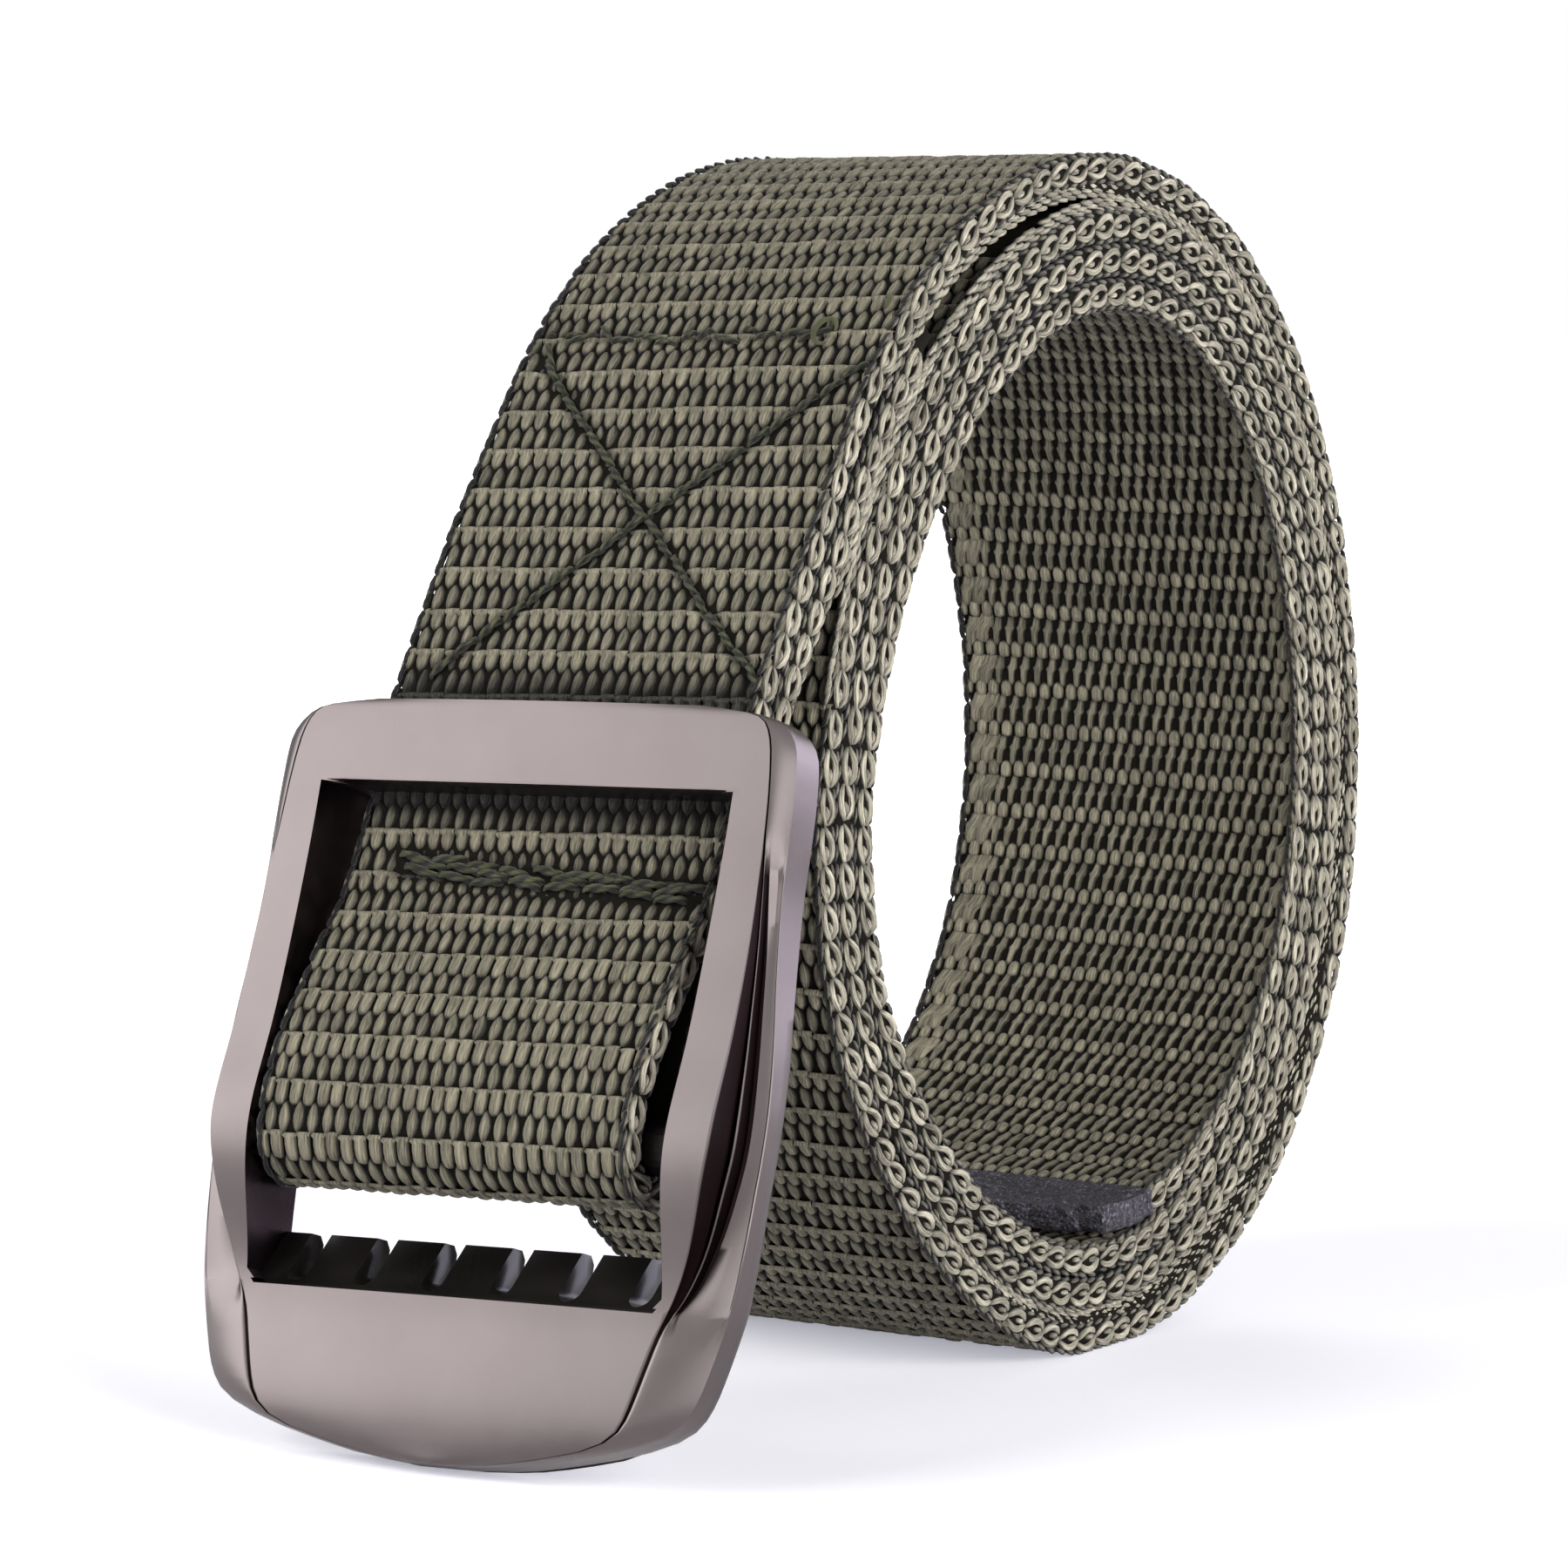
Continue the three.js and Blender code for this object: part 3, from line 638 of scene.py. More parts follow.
def wrapOnStrap(points):
    # u across from the strap's middle, s along it, h outwards from its middle layer
    u, s, h = points[:, 0], np.clip(points[:, 1], 0, routeLength), points[:, 2]
    centre = np.stack([alongRoute(routePoints[:, i], s) for i in (0, 1)], axis=1)
    inward = np.stack([alongRoute(routeInward[:, i], s) for i in (0, 1)], axis=1)
    inward /= np.linalg.norm(inward, axis=1)[:, None]
    h = h + topTiltAt(s) * u / 19
    x = strapMiddleX + u
    climb = alongRoute(routeTurnShare, s) * (x - windowMiddle[0]) * math.tan(strap["turn"])
    y = centre[:, 0] - inward[:, 0] * h + climb * math.sin(strap["lean"])
    z = centre[:, 1] - inward[:, 1] * h + climb * math.cos(strap["lean"])
    return np.stack([x, y, np.maximum(z, 0.02)], axis=1)


print("strap route laid out, length", round(routeLength, 1), "mm")

# Body of the webbing under its yarns
core = dict(
    halfWidth=18.5, rowLength=1.6, rounding=0.5,
    halfThickness=0.85,   # under face yarns
    hiddenReach=1.54,     # between the coil's layers and in the sewn joint, where no yarns show
    innerYarnsEnd=1.08, outerYarnsStart=2.55,  # turns of the coil
    halfSection=[-1, -.6, -.2, .2, .6, 1],
)


def coreReach(s):
    # how far the body reaches from the strap's middle, to its outer and to its inner side
    turn = np.interp(s, turnLengths, turnPlaces)
    extra = core["hiddenReach"] - core["halfThickness"]
    outer = core["halfThickness"] + extra * (1 - smoothStep((s - lengthAtTurn(core["outerYarnsStart"]) + 2) / 4))
    inner = core["halfThickness"] + extra * smoothStep((s - lengthAtTurn(core["innerYarnsEnd"]) + 2) / 4)
    loop = coilLength + leadLength + math.pi * strap["loopRadius"] / 2
    inner -= 0.3 * (1 - smoothStep((np.abs(s - loop) - 12) / 10))
    # the loose last layer's body reaches down to the layer below it
    slack = np.where(turn < slackTurns[0], 0, readCurve(slackTurns, slackShares, turn) * strap["thickness"])
    inner += np.clip(slack, 0, 2) * (1 - smoothStep((turn - 3.46) / 0.08))
    return outer, inner


def makeCore():
    start = strap["sealLength"] - 0.4
    rows = int((routeLength - start) / core["rowLength"])
    wide = core["halfWidth"] - core["rounding"]
    section = [(share * wide, 1, 0) for share in core["halfSection"]]
    section += [(core["halfWidth"], 1, -core["rounding"]), (core["halfWidth"], -1, core["rounding"])]
    section += [(share * wide, -1, 0) for share in core["halfSection"][::-1]]
    section += [(-core["halfWidth"], -1, core["rounding"]), (-core["halfWidth"], 1, -core["rounding"])]
    section = np.array(section)
    around = len(section)
    # a tube round the strap's middle; its first and last rows are pressed flat and close it
    piece, column, row = addGrid("webbing_core", around, rows + 2)
    s = start + np.clip(row - 1, 0, rows) / rows * (routeLength - start)
    u, side, inset = section[column % around].T
    outer, inner = coreReach(s)
    h = np.where(side > 0, outer, -inner) + inset
    h[(row == 0) | (row == rows + 2)] = 0
    writePoints(piece, wrapOnStrap(np.stack([u, s, h], axis=1)))
    inEditMode(piece, lambda: bpy.ops.mesh.remove_doubles(threshold=1e-7),
               lambda: bpy.ops.mesh.normals_make_consistent(inside=False))
    setMaterial(piece, weaveGround)
    makeActive(piece)
    bpy.ops.object.shade_smooth_by_angle(angle=math.radians(50))
    return piece


webbingCore = makeCore()
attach(webbingCore, "root")
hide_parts("webbing_strap")
print("webbing core wrapped")

# Stitching: places as (u, s), with s counted from where the strap leaves the coil
stitching = dict(
    cross=[[(-15.9, -.4), (18.4, 31.4)], [(17.8, -1.2), (-15.3, 31.4)]],
    row=[[(-17.0, -4.4), (-15.8, -.4)], [(-15.3, -3.6), (-6, -3.2), (3.5, -3.6), (12, -4.2)]],
    tack=[[(-14.0, 47.6), (-4.5, 48.5), (4.5, 49.0), (17.6, 49.8)],
          [(-12.4, 48.3), (-3.2, 49.1), (5.8, 49.6), (16.4, 50.3)],
          [(-13.3, 49.0), (-4.0, 49.8), (5.0, 50.2), (17.0, 50.9)]],
    knots=[((12.3, -4.3), 1.9, 0.9, 0.85), ((16.9, -7.4), 0.9, 4.0, 0.6)],
    crossPitch=2.6, crossRadius=0.36, rowPitch=1.7, rowRadius=0.28, tackPitch=3.7, tackRadius=0.42, twist=1.1,
    dentDepth=0.45, dentReach=0.85,
)


def distanceToLines(u, s, lines):
    nearest = np.full(len(u), 1e9)
    for line in lines:
        for (u0, s0), (u1, s1) in zip(line, line[1:]):
            run = np.array([u1 - u0, s1 - s0])
            share = np.clip(((u - u0) * run[0] + (s - s0) * run[1]) / run.dot(run), 0, 1)
            nearest = np.minimum(nearest, np.hypot(u - u0 - share * run[0], s - s0 - share * run[1]))
    return nearest


def stitchDent(u, s):
    # how far the thread pulls the face yarns down
    place = s - coilLength
    cross = np.exp(-(distanceToLines(u, place, stitching["cross"]) / stitching["dentReach"]) ** 2)
    row = 0.5 * np.exp(-(distanceToLines(u, place, stitching["row"]) / 0.9) ** 2)
    tack = 1.1 * np.exp(-(distanceToLines(u, place, stitching["tack"]) / 1.15) ** 2)
    return stitching["dentDepth"] * np.maximum(np.maximum(cross, row), tack)


# The face yarns. Each row of a column is two yarns, a stub that hangs from the row's ridge and a leaf below it.
# A yarn's rings: place along the row, sideways place and half width in column pitches, height, edge height.
weave = dict(
    columns=26, halfWidth=19.0, rowPitch=4.1,
    section=[-1, -.62, -.2, .2, .62, 1],
    outerYarns=[
        [(-.05, 0, .5, .3, .6), (0, 0, .51, .54, .9), (.055, 0, .51, .55, .9), (.1, 0, .47, .42, .2),
         (.22, .02, .46, .55, .1), (.36, .05, .34, .47, 0), (.47, .07, .04, .08, -.3)],
        [(.36, -.47, .03, .08, -.3), (.43, -.46, .2, .32, -.1), (.54, -.43, .36, .43, 0), (.67, -.42, .42, .45, 0),
         (.79, -.44, .38, .42, 0), (.90, -.46, .28, .34, -.1), (.985, -.48, .12, .2, -.3)],
    ],
    loopYarns=[
        [(-.04, 0, .5, .3, .5), (.01, 0, .5, .5, .75), (.06, 0, .45, .46, .2), (.18, 0, .45, .56, .2),
         (.32, 0, .44, .54, .2), (.43, 0, .38, .42, .1), (.49, 0, .24, .1, -.1)],
        [(.38, -.5, .05, .08, -.3), (.46, -.5, .2, .34, -.1), (.57, -.49, .35, .44, 0), (.69, -.47, .44, .47, 0),
         (.80, -.47, .42, .44, 0), (.91, -.48, .3, .36, -.1), (.985, -.5, .15, .2, -.3)],
    ],
    innerYarns=[
        [(-.05, 0, .22, .2, 0), (0, 0, .4, .46, .2), (.09, 0, .43, .54, .2), (.2, 0, .43, .52, .2),
         (.31, 0, .38, .38, 0), (.37, 0, .1, .1, -.3)],
        [(.24, .44, .14, .1, -.2), (.34, .44, .26, .38, 0), (.50, .46, .26, .44, 0), (.62, .5, .31, .42, 0),
         (.70, .57, .44, .42, .2),
         (.78, .66, .33, .42, 0), (.89, .72, .29, .38, 0), (.99, .74, .27, .2, -.2)],
    ],
    jitterAcross=0.05, jitterAlong=0.06, jitterHeight=0.07, stubTone=0.6, leafTone=0.38,
    barShadowSpan=(29, 42.3), barShadowStrength=0.8,  # where the buckle's top bar shades the strap, as painted shadow in the yarns, and how much
)
columnPitch = 2 * weave["halfWidth"] / weave["columns"]


def makeFaceYarn(name, rings):
    places, sideways, half, heights, edges = (np.array(item) for item in zip(*rings))
    section = np.array(weave["section"])
    yarn, column, ring = addGrid(name, len(section) - 1, len(rings) - 1)
    across = section[column]
    x = (sideways[ring] + half[ring] * across) * columnPitch
    h = heights[ring] * (1 - (1 - edges[ring]) * np.abs(across) ** 2.5)
    writePoints(yarn, np.stack([x, places[ring] * weave["rowPitch"], h], axis=1))
    # painted shade: the yarn darkens towards its foot
    writeValue(yarn, "yarnDepth", np.clip((h - 0.04) / 0.38, 0, 1))
    return yarn


def repeatTile(tile, columns, rows, rowPitch):
    addArray(tile, columns, (columnPitch * mm, 0, 0))
    addArray(tile, rows, (0, rowPitch * mm, 0))
    applyModifiers(tile)


def layFaceYarns(name, start, end, side, kind):
    # side 1 is the strap's outer face, -1 its inner face
    rows = int(round((end - start) / weave["rowPitch"]))
    yarns = [makeFaceYarn(name, rings) for rings in weave[kind]]
    counts = [len(yarn.data.vertices) for yarn in yarns]
    piece = joinPieces(yarns, name)
    repeatTile(piece, weave["columns"], rows, (end - start) / rows)
    points = readPoints(piece)
    copy = np.arange(len(points)) // sum(counts)
    yarn = copy * 2 + (np.arange(len(points)) % sum(counts) >= counts[0])
    shift = random.normal(0, 1, (yarn.max() + 1, 4))[yarn]
    column = copy % weave["columns"]
    if side < 0:  # the inner face's margins are flat bundles
        margin = (yarn % 2 == 1) & ((column < 2) | (column > weave["columns"] - 3))
        centre = (column + 0.5) * columnPitch
        points[margin, 0] = centre[margin] + (points[margin, 0] - centre[margin]) * 1.9
        writeValue(piece, "yarnDepth", np.maximum(readValue(piece, "yarnDepth"), margin))
    points[:, 0] += -weave["halfWidth"] + columnPitch / 2 + shift[:, 0] * weave["jitterAcross"]
    points[:, 0] = np.clip(points[:, 0], -18.6, 18.6)
    points[:, 1] += start + shift[:, 1] * weave["jitterAlong"]
    points[:, 2] = core["halfThickness"] + points[:, 2] * (1 + shift[:, 2] * weave["jitterHeight"])
    points[:, 2] -= 0.35 * smoothStep((np.abs(points[:, 0]) - 17.7) / 0.9)
    points[:, 1] -= points[:, 0] * np.tan(rowSkewAt(points[:, 1]))
    if side > 0:
        dent = stitchDent(points[:, 0], points[:, 1])
        points[:, 2] -= dent
        # painted shade: the face yarns darken where the stitches pull them down
        writeValue(piece, "yarnDepth", readValue(piece,
                                                 "yarnDepth") * (1 - 0.8 * np.clip(dent / stitching["dentDepth"], 0, 1)))
        # painted shadow under the buckle's top bar: the yarns there fade towards the near-black gap colour
        barShadow = smoothStep((points[:, 1] - coilLength - weave["barShadowSpan"][0]) / 4)
        barShadow *= 1 - smoothStep((points[:, 1] - coilLength - weave["barShadowSpan"][1]) / 4)
        writeValue(piece, "yarnDepth", readValue(piece, "yarnDepth") * (1 - weave["barShadowStrength"] * barShadow))
    points[:, 2] *= side
    middle = np.where(yarn % 2, weave["leafTone"], weave["stubTone"])
    writeValue(piece, "yarnTone", np.clip(middle + shift[:, 3] * 0.15, 0, 1))
    writePoints(piece, wrapOnStrap(points))
    if side > 0:
        inEditMode(piece, lambda: bpy.ops.mesh.flip_normals())
    setMaterial(piece, webbingYarn)
    makeActive(piece)
    bpy.ops.object.shade_smooth()
    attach(piece, "root")
    return piece


outerStart = lengthAtTurn(core["outerYarnsStart"])
frontStart = coilLength - 4.0
outerMiddle = outerStart + weave["rowPitch"] * round((frontStart - outerStart) / 2 / weave["rowPitch"])
loopStart = frontStart + weave["rowPitch"] * 15
innerStart, innerEnd = strap["sealLength"] + 0.5, lengthAtTurn(core["innerYarnsEnd"])
innerMiddle = innerStart + weave["rowPitch"] * round((innerEnd - innerStart) / 2 / weave["rowPitch"])
layFaceYarns("webbing_face_back", outerStart, outerMiddle, 1, "outerYarns")
layFaceYarns("webbing_face_top", outerMiddle, frontStart, 1, "outerYarns")
layFaceYarns("webbing_face_front", frontStart, loopStart, 1, "outerYarns")
layFaceYarns("webbing_face_loop", loopStart, routeLength - 0.5, 1, "loopYarns")
layFaceYarns("webbing_face_eye", innerStart, innerMiddle, -1, "innerYarns")
layFaceYarns("webbing_face_inner", innerMiddle, innerEnd, -1, "innerYarns")
print("face yarns laid")

# The selvedges: s along, t through the thickness with minus on the eye's side, w outwards
selvedge = dict(
    pitch=3.35, modelledPitch=3.98, base=18.25, sides=6,
    # where a layer lies free of its neighbour: first and last place, face (1 outer, -1 inner), rows of strands
    gaps=[(lengthAtTurn(1.9), lengthAtTurn(2.38), 1, 3), (lengthAtTurn(2.9), lengthAtTurn(3.42), -1, 3),
          (lengthAtTurn(2.4), lengthAtTurn(2.72), 1, 3), (lengthAtTurn(3.4), coilLength, -1, 3),
          (routeLength - 66, routeLength - 26, 1, 1), (routeLength - 26, routeLength - 1, 1, 3)],
    strandPitch=1.9, strandRow=0.42,
    yarns=[
        # path of (s, t, w), radius, rings: two arcs round a slit, a tongue in it, and the margins' strands
        ([(-2.4, .35, -.1), (-1.5, -.1, .2), (-.6, -.62, .36), (.5, -.82, .38), (1.5, -.62, .32),
          (2.4, -.1, -.1)], .33, 8),
        ([(-2.2, .1, -.1), (-1.3, .6, .25), (-.4, .82, .36), (.7, .68, .38), (1.6, .24, .32), (2.5, -.3, -.1)],
         .33, 8),
        ([(1.7, -.15, .05), (1.1, -.12, .32), (.5, -.06, .32), (-.1, .0, .0)], .25, 6),
        *[([(along - 1.25, side * 1.05, .0), (along, side * 1.26, .16), (along + 1.25, side * 1.44, -.1)], .25, 5)
          for side in (-1, 1) for along in (-1, 1)],
    ],
)


def makeYarn(name, path, radius, rings, sides):
    # a closed tube along a path, pointed at both ends
    tube, column, ring = addGrid(name, sides, rings - 1)
    centre = throughPoints(path, rings)
    along = np.gradient(centre, axis=0)
    along /= np.linalg.norm(along, axis=1)[:, None]
    reference = np.array([0.31, 0.22, 0.92])
    firsts = []
    for direction in along:
        reference = reference - direction * reference.dot(direction)
        reference /= np.linalg.norm(reference)
        firsts.append(reference)
    first = np.array(firsts)
    second = np.cross(along, first)
    share = np.linspace(-1, 1, rings)
    reach = radius * np.sqrt(np.clip(1 - np.abs(share) ** 4, 0, 1))
    angle = column / sides * 2 * np.pi
    points = centre[ring] + reach[ring, None] * (np.cos(angle)[:, None] * first[ring] + np.sin(angle)[:, None] * second[ring])
    writePoints(tube, points)
    inEditMode(tube, lambda: bpy.ops.mesh.remove_doubles(threshold=1e-6),
               lambda: bpy.ops.mesh.normals_make_consistent(inside=False))
    return tube


def finishYarns(piece, material):
    inEditMode(piece, lambda: bpy.ops.mesh.normals_make_consistent(inside=False))
    setMaterial(piece, material)
    bpy.ops.object.shade_smooth()
    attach(piece, "root")


def fillGaps(name):
    # strands that close the selvedges' gaps between loose layers, on both sides of the strap
    strands = []
    for side in (-1, 1):
        for start, end, face, layers in selvedge["gaps"]:
            for layer in range(layers):
                strand = makeYarn("gapStrand", [(-1.25, -.16, -.15), (0, 0, .12), (1.25, .16, -.15)], 0.25, 5, 6)
                size = len(strand.data.vertices)
                count = int((end - start) / selvedge["strandPitch"])
                repeatTile(strand, 1, count, 0)
                points = readPoints(strand)
                copy = np.arange(len(points)) // size
                shift = random.normal(0, 1, (count, 3))[copy]
                s = start + (copy + 0.5 * (layer % 2)) * selvedge["strandPitch"] + points[:, 0] + shift[:, 0] * 0.15
                # a row further out only where the gap is wide enough, in its middle part
                place = (s - start) / (end - start)
                reach = (1.55 + layer * selvedge["strandRow"]) * np.ones(len(s))
                if end < coilLength:
                    reach = 1.5 + (reach - 1.5) * smoothStep(np.minimum(place, 1 - place) * 5)
                u = side * (selvedge["base"] + points[:, 2] - 0.05 + shift[:, 1] * 0.05)
                writeValue(strand, "yarnTone", np.clip(0.5 + shift[:, 2] * 0.2, 0, 1))
                # painted shade at the strand's foot
                writeValue(strand, "yarnDepth", np.clip((points[:, 2] + 0.02) / 0.36, 0, 1))
                writePoints(strand, wrapOnStrap(np.stack([u, s, face * reach + points[:, 1]], axis=1)))
                strands.append(strand)
    finishYarns(joinPieces(strands, name), edgeYarn)


def makeSelvedge(name, side):
    yarns = [makeYarn("edgeYarnTube", path, radius, rings, selvedge["sides"]) for path, radius,
             rings in selvedge["yarns"]]
    counts = [len(yarn.data.vertices) for yarn in yarns]
    piece = joinPieces(yarns, name)
    tileSize = len(piece.data.vertices)
    start, end = strap["sealLength"] + 1.5, routeLength - 0.4
    rows = int(round((end - start) / selvedge["pitch"]))
    repeatTile(piece, 1, rows, 0)
    points = readPoints(piece)
    copy = np.arange(len(points)) // tileSize
    yarn = copy * len(counts) + np.repeat(np.arange(len(counts)), counts)[np.arange(len(points)) % tileSize]
    shift = random.normal(0, 1, (rows, 3))
    tone = random.normal(0, 1, rows * len(counts))
    s, t, w = points[:, 0] * selvedge["pitch"] / selvedge["modelledPitch"], points[:, 1].copy(), points[:, 2].copy()
    # painted shade in the slits and where the layers meet
    depth = np.clip((w - 0.18) / 0.42, 0, 1) * np.clip((1.75 - np.abs(t)) / 0.3, 0, 1)
    s = start + copy * (end - start) / rows + s + shift[copy, 0] * 0.12
    t = t * (1 + shift[copy, 1] * 0.04)
    u = side * (selvedge["base"] + w + shift[copy, 2] * 0.04)
    writeValue(piece, "yarnTone", np.clip(0.5 + tone[yarn] * 0.2, 0, 1))
    writeValue(piece, "yarnDepth", depth)
    writePoints(piece, wrapOnStrap(np.stack([u, s, t], axis=1)))
    finishYarns(piece, edgeYarn)


makeSelvedge("webbing_edge_right", 1)
makeSelvedge("webbing_edge_left", -1)
fillGaps("webbing_edge_fill")
print("selvedges laid")


def twistThread(shape, turns):
    # two plies laid round each other; returns the shape and how far each point lies in the groove between them
    angle = np.arctan2(shape[:, 2], shape[:, 1]) - 2 * np.pi * turns * shape[:, 0]
    crest = np.abs(np.cos(angle))
    return shape * np.stack([np.ones(len(shape)), 0.5 + 0.55 * crest, 0.5 + 0.55 * crest], axis=1), crest


def makeThread(name, kind, rise, mess):
    # short stitches along the lines, each a copy of one that dives into the webbing at both ends
    pitch, radius = stitching[kind + "Pitch"], stitching[kind + "Radius"]
    pattern = makeYarn("threadStitch", [(-.5, 0, 0), (0, 0, 0), (.5, 0, 0)], 1.0, 12, 10)
    shape, crest = twistThread(readPoints(pattern), stitching["twist"])
    copies = []
    for line in stitching[kind]:
        line = np.array(line, dtype=float)
        lengths = np.concatenate([[0], np.cumsum(np.linalg.norm(np.diff(line, axis=0), axis=1))])
        count = max(int(round(lengths[-1] / pitch)), 1)
        for index in range(count):
            ends = [np.array([np.interp(place, lengths, line[:, i]) for i in (0, 1)])
                    for place in (lengths[-1] * index / count, lengths[-1] * (index + 1) / count)]
            ends = [end + random.normal(0, mess, 2) for end in ends]
            along = ends[1] - ends[0]
            length = np.linalg.norm(along)
            along /= length
            across = np.array([-along[1], along[0]])
            stitch = pattern.copy()
            stitch.data = pattern.data.copy()
            bpy.context.collection.objects.link(stitch)
            copies.append(stitch)
            middle = (ends[0] + ends[1]) / 2
            flat = middle + np.outer(shape[:, 0] * (length + 0.3), along) + np.outer(shape[:, 1] * radius, across)
            arch = rise * (1 - (2 * shape[:, 0]) ** 4) - 0.3
            u, s = flat[:, 0], flat[:, 1] + coilLength
            h = halfWeb - stitchDent(u, s) * 0.75 + arch + shape[:, 2] * radius * 0.9
            writePoints(stitch, wrapOnStrap(np.stack([u, s, h], axis=1)))
            writeValue(stitch, "yarnTone", np.full(len(shape), random.uniform(0.1, 0.9)))
            # painted shade in the groove between the plies and on the thread's underside
            writeValue(stitch, "yarnDepth", np.clip(crest * 1.4 - 0.4, 0,
                                                    1) * np.clip(0.45 + shape[:, 2] * 0.55, 0, 1))
    bpy.data.objects.remove(pattern)
    finishYarns(joinPieces(copies, name), stitchThread)


def makeKnots():
    # two loose curls of the thread's ends
    curls = []
    for (u, s), size, first, turns in stitching["knots"]:
        angles = np.linspace(0, 2 * np.pi * turns, 15)
        reach = size * (1 - 0.45 * angles / angles[-1])
        path = np.stack([u + reach * 0.6 * np.cos(angles + first), s + reach * np.sin(angles + first),
                         halfWeb + 0.3 + 0.35 * np.sin(angles * 0.9)], axis=1)
        curl = makeYarn("threadCurl", path, 0.24, 40, 7)
        points = readPoints(curl)
        points[:, 1] += coilLength
        writePoints(curl, wrapOnStrap(points))
        writeValue(curl, "yarnTone", np.full(len(points), 1.0))
        writeValue(curl, "yarnDepth", np.full(len(points), 1.0))
        curls.append(curl)
    finishYarns(joinPieces(curls, "thread_knots"), stitchThread)


makeThread("cross_stitch", "cross", 0.45, 0.12)
makeThread("row_stitch", "row", 0.5, 0.6)
makeThread("bar_tack", "tack", 0.6, 0.28)
makeKnots()
print("stitches sewn")

# The melted inner end
seal = dict(across=60, along=16, halfThickness=1.35, edgeRound=0.5, roughness=0.22, curl=0.6)


def makeSeal():
    piece, columns, row = addGrid("melted_tip", seal["across"], seal["along"])
    u = (columns / seal["across"] * 2 - 1) * 18.9
    s = row / seal["along"] * (strap["sealLength"] + 0.3)
    curl = seal["curl"] * smoothStep((u - 9) / 10) * smoothStep(1 - s / 8)
    points = np.stack([u, s, np.full(len(u), -seal["halfThickness"]) - curl], axis=1)
    points[:, 1] += 0.25 * np.sin(u * 1.3) * smoothStep(1 - s / 2)
    writePoints(piece, wrapOnStrap(points))
    inEditMode(piece, lambda: bpy.ops.mesh.flip_normals())
    addModifier(piece, "SOLIDIFY", thickness=2 * seal["halfThickness"] * mm, offset=1)
    addBevel(piece, seal["edgeRound"], 50)
    addModifier(piece, "SUBSURF", levels=1, render_levels=1)
    applyModifiers(piece)
    points = readPoints(piece)
    wave = (np.sin(points[:, 0] * 2.3 + 1.7 * np.sin(points[:, 1] * 1.9)) * np.sin(points[:, 1] * 2.9 + points[:, 2] * 1.1)
            + 0.6 * np.sin(points[:, 0] * 5.1 + points[:, 2] * 3.7))
    normals = np.empty(len(points) * 3, dtype=np.float32)
    piece.data.vertices.foreach_get("normal", normals)
    writePoints(piece, points + normals.reshape(-1, 3) * wave[:, None] * seal["roughness"] * 0.6)
    setMaterial(piece, meltedEnd)
    bpy.ops.object.shade_smooth()
    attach(piece, "root")
    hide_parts("tip_seal")


makeSeal()
print("melted end shaped")

# Cast buckle, in its own frame: x across, d into its depth, v up from the window's middle
buckle = dict(
    halfWidth=27.85, windowHalf=21.0, topBarDepth=3.5, wingDepth=1.3, bulge=3.5, cornerCut=1.2, edgeRound=0.2, smoothing=0.035, crown=0.45,
    lugDepth=7.7, lugFoot=6.0,  # the rails' inner walls run deeper beside the strap, from this height up
    rise=[0, .006, .018, .034, .05, .063, .08, .108, .14, .184, .225, .276, .325, .376, .42, .475, .52, .567,
          .66, .752, .83, .89, .945, .966, .982, .992, 1],
    side=[.11, .27, .43, .6, .72, .79, .845, .885, .91, .938, .96, .975, .985, .992, .998, 1, .995, .986, .962,
          .945, .942, .938, .926, .902, .86, .79, .62],
    seam=[.08, .22, .38, .54, .62, .65, .67, .69, .71, .74, .785, .83, .862, .885, .898, .9, .9, .9, .899, .892,
          .882, .872, .855, .84, .815, .755, .59],
    face=[-.25, -.12, 0, .06, .09, .11, .12, .12, .11, .06, .05, .3, .62, .9, 1, .86, .66, .5, .3, .14, .04, 0,
          -.01, -.03, -.06, -.1, -.18],
    wall=[.5, .55, .58, .6, .62, .63, .64, .65, .66, .64, .62, .58, .53, .5, .5, .52, .57, .64, .76, .84, .88,
          .9, .88, .84, .78, .72, .66],
    # stepped hollow beside the middle face: height, ridge (share across, share down), start of the wing
    hollow=[(-22.5, .06, .35, .1, .5), (-20, .15, .5, .24, .85), (-17, .21, .62, .34, .92),
            (-13, .27, .64, .46, .93),
            (-8, .32, .67, .56, .93), (-3, .3, .65, .55, .92), (3, .25, .6, .5, .9), (9, .2, .52, .44,
                                                                                      .85), (15, .15, .3, .3, .6)],
)


